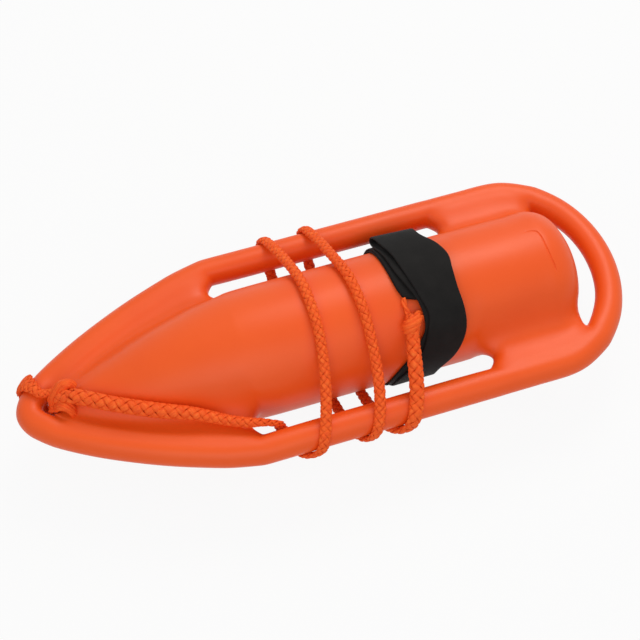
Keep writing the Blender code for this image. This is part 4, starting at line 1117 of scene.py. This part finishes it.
def sling_column(side):
    """Closed line along the webbing: the inner ply out to the bight, the outer ply back to the fold."""
    inner = WEBBING_THICKNESS/2
    outer = BAND_THICKNESS - WEBBING_THICKNESS/2
    first, last = SLING_ROUTE[0][0], SLING_ROUTE[-1][0]
    count = int(round((last - first)/SLING_STEP_DEGREES))
    last = BIGHT_END_DEGREES - BIGHT_SLANT_DEGREES*side
    rise_here = BIGHT_RISE + BIGHT_LEFT_RISE*(1 - side)/2
    angles = [first + (last - first)*i/count for i in range(count + 1)]
    path = [sling_point(angle, side, False, inner + wrinkle(angle, side, 0)*bight_share(angle))
            for angle in angles]
    tip = sling_point(last, side, False, inner)
    back = sling_point(last, side, True, outer + rise_here)
    along = unit(np.array((0.0, tip[2], -tip[1])))
    outward = unit(np.array((0.0, tip[1], tip[2])))
    bend = radians(BIGHT_REACH_DEGREES)
    for ahead, rise in BIGHT_ARC:
        reach = bend*HULL_RADIUS*ahead
        lift = rise*(rise_here + outer - inner) - reach*sin(bend/2)
        point = tip + along*reach + outward*lift
        point[0] = tip[0] + (back[0] - tip[0])*rise
        path.append(point)
    for angle in reversed(angles):
        share = bight_share(angle)
        lift = outer + rise_here*share**2 + wrinkle(angle, side, 1)*min(1.0, 2*share)
        path.append(sling_point(angle, side, True, lift))
    middle = sling_point(first, side, True, (inner + outer)/2)
    ahead = unit(sling_point(first + 1.0, side, True, (inner + outer)/2) - middle)
    return np.array(path + [middle - ahead*(outer - inner)/2])


def make_sling(material):
    """The webbing loop: a closed double band with rounded edges and its own thickness."""
    lines = np.array([sling_column(side) for side in SLING_ACROSS])
    columns, count, _ = lines.shape
    tangent = np.roll(lines, -1, axis=1) - np.roll(lines, 1, axis=1)
    across = np.gradient(lines, axis=0)
    normal = unit(np.cross(tangent, across))
    half = np.array([WEBBING_THICKNESS/2*EDGE_THINNING.get(abs(side), 1.0) for side in SLING_ACROSS])
    lift = normal*half[:, None, None]
    vertices = np.concatenate([(lines + lift).reshape(-1, 3), (lines - lift).reshape(-1, 3)])
    vertices[:, 2] = np.maximum(vertices[:, 2], -AXIS_HEIGHT)
    middle = lines[columns//2]
    marks = np.cumsum(steps_along(np.append(middle, middle[:1], axis=0)))
    faces = []
    uvs = []
    shift = columns*count
    for j in range(count):
        ahead = (j + 1) % count
        low, high = marks[j], marks[j + 1]
        for i in range(columns - 1):
            a, b, c, d = i*count + j, (i + 1)*count + j, (i + 1)*count + ahead, i*count + ahead
            u, v = (SLING_ACROSS[i] + 1)*WEBBING_WIDTH/2, (SLING_ACROSS[i + 1] + 1)*WEBBING_WIDTH/2
            faces.append((a, d, c, b))
            uvs += (u, low, u, high, v, high, v, low)
            faces.append((a + shift, b + shift, c + shift, d + shift))
            uvs += (u, low, v, low, v, high, u, high)
        for i, flip in ((0, False), (columns - 1, True)):
            a, d = i*count + j, i*count + ahead
            corners = (a, a + shift, d + shift, d)
            edge = (SLING_ACROSS[i] + 1)*WEBBING_WIDTH/2
            beyond = edge + EDGE_WEAVE
            values = ((edge, low), (beyond, low), (beyond, high), (edge, high))
            if flip:
                corners, values = corners[::-1], values[::-1]
            faces.append(corners)
            for pair in values:
                uvs += pair
    mesh = raw_mesh("webbing_sling", vertices.tolist(), faces, "weave", uvs)
    mesh.shade_smooth()
    print("sling: webbing round the loop %.3f m" % marks[-1])
    return place(link(mesh), material)


# Stage

def make_floor():
    """A wide pale floor with a faint grain. Camera and mirror rays see more white than the floor's
    own light, and it keeps the object's soft shadow."""
    builder = bmesh.new()
    bmesh.ops.create_grid(builder, x_segments=8, y_segments=8, size=FLOOR_HALF_SIZE)
    floor = link(built_mesh("floor", builder))
    s = Shading("pale_floor", 0.9, 0.0)
    grain = s.noise(s.coordinates(), 3.0, 2.0)
    s.set("Base Color", s.ramp(grain, (0.3, (0.61, 0.61, 0.61)), (0.7, (0.63, 0.63, 0.63))))
    glow = s.node("Emission", Color=WHITE, Strength=1.0)
    blend = s.node("MixShader", Fac=s.math("MULTIPLY", s.seen(), FLOOR_WHITE_SHARE))
    s.feed(blend.inputs[1], s.shader.outputs[0])
    s.feed(blend.inputs[2], glow.outputs[0])
    s.feed(s.tree.nodes["Material Output"].inputs["Surface"], blend.outputs[0])
    floor.data.materials.append(s.material)


def make_light():
    for name, position, size, power, colour in LAMPS:
        data = bpy.data.lights.new(name, "AREA")
        data.shape = "DISK"
        data.size, data.energy, data.color = size, power, colour
        lamp = link(data)
        lamp.location = position
        lamp.rotation_euler = (LAMP_AIM - Vector(position)).to_track_quat("-Z", "Y").to_euler()
    world = bpy.data.worlds.new("studio")
    bpy.context.scene.world = world
    world.use_nodes = True
    nodes = Nodes(world.node_tree)
    ground = nodes.tree.nodes["Background"]
    nodes.feed(ground.inputs["Color"], WHITE)
    nodes.feed(ground.inputs["Strength"], nodes.span(nodes.seen(), WORLD_STRENGTH, 1.0))


def make_camera():
    data = bpy.data.cameras.new("photo_view")
    data.lens = CAMERA_LENS_MM
    data.sensor_width = SENSOR_MM
    camera = link(data)
    x, y, z = CAMERA_PLACE
    turn = Matrix.Rotation(radians(CAMERA_TURN_DEGREES), 4, "Z")
    tilt = Matrix.Rotation(radians(90 - CAMERA_ELEVATION_DEGREES), 4, "X")
    camera.matrix_world = Matrix.Translation((x - MIDDLE_X, y, z + AXIS_HEIGHT)) @ turn @ tilt
    bpy.context.scene.camera = camera


def main():
    make_camera()
    rope_finish = rope_material()
    skin = make_skin(moulded_material())
    rope, knot = make_rope(rope_finish)
    eye = make_eye(rope_finish)
    sling_knot = make_knot(rope_finish, *knot)
    sling = make_sling(webbing_material())
    for piece, node, slot in ((skin, "can_shell", "moulded_orange"), (rope, "tow_rope", "rope_orange"),
                              (eye, "rope_eye", "rope_orange"), (sling_knot, "rope_knot", "rope_orange"),
                              (sling, "shoulder_sling", "webbing_black")):
        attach(piece, "root")
        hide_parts(node)
    for name, material in (("filler_plug", plug_material()), ("foam_core", foam_material())):
        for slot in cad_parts[name].material_slots:
            slot.material = material
    make_floor()
    make_light()
    bpy.context.scene.view_settings.view_transform = "Standard"


main()
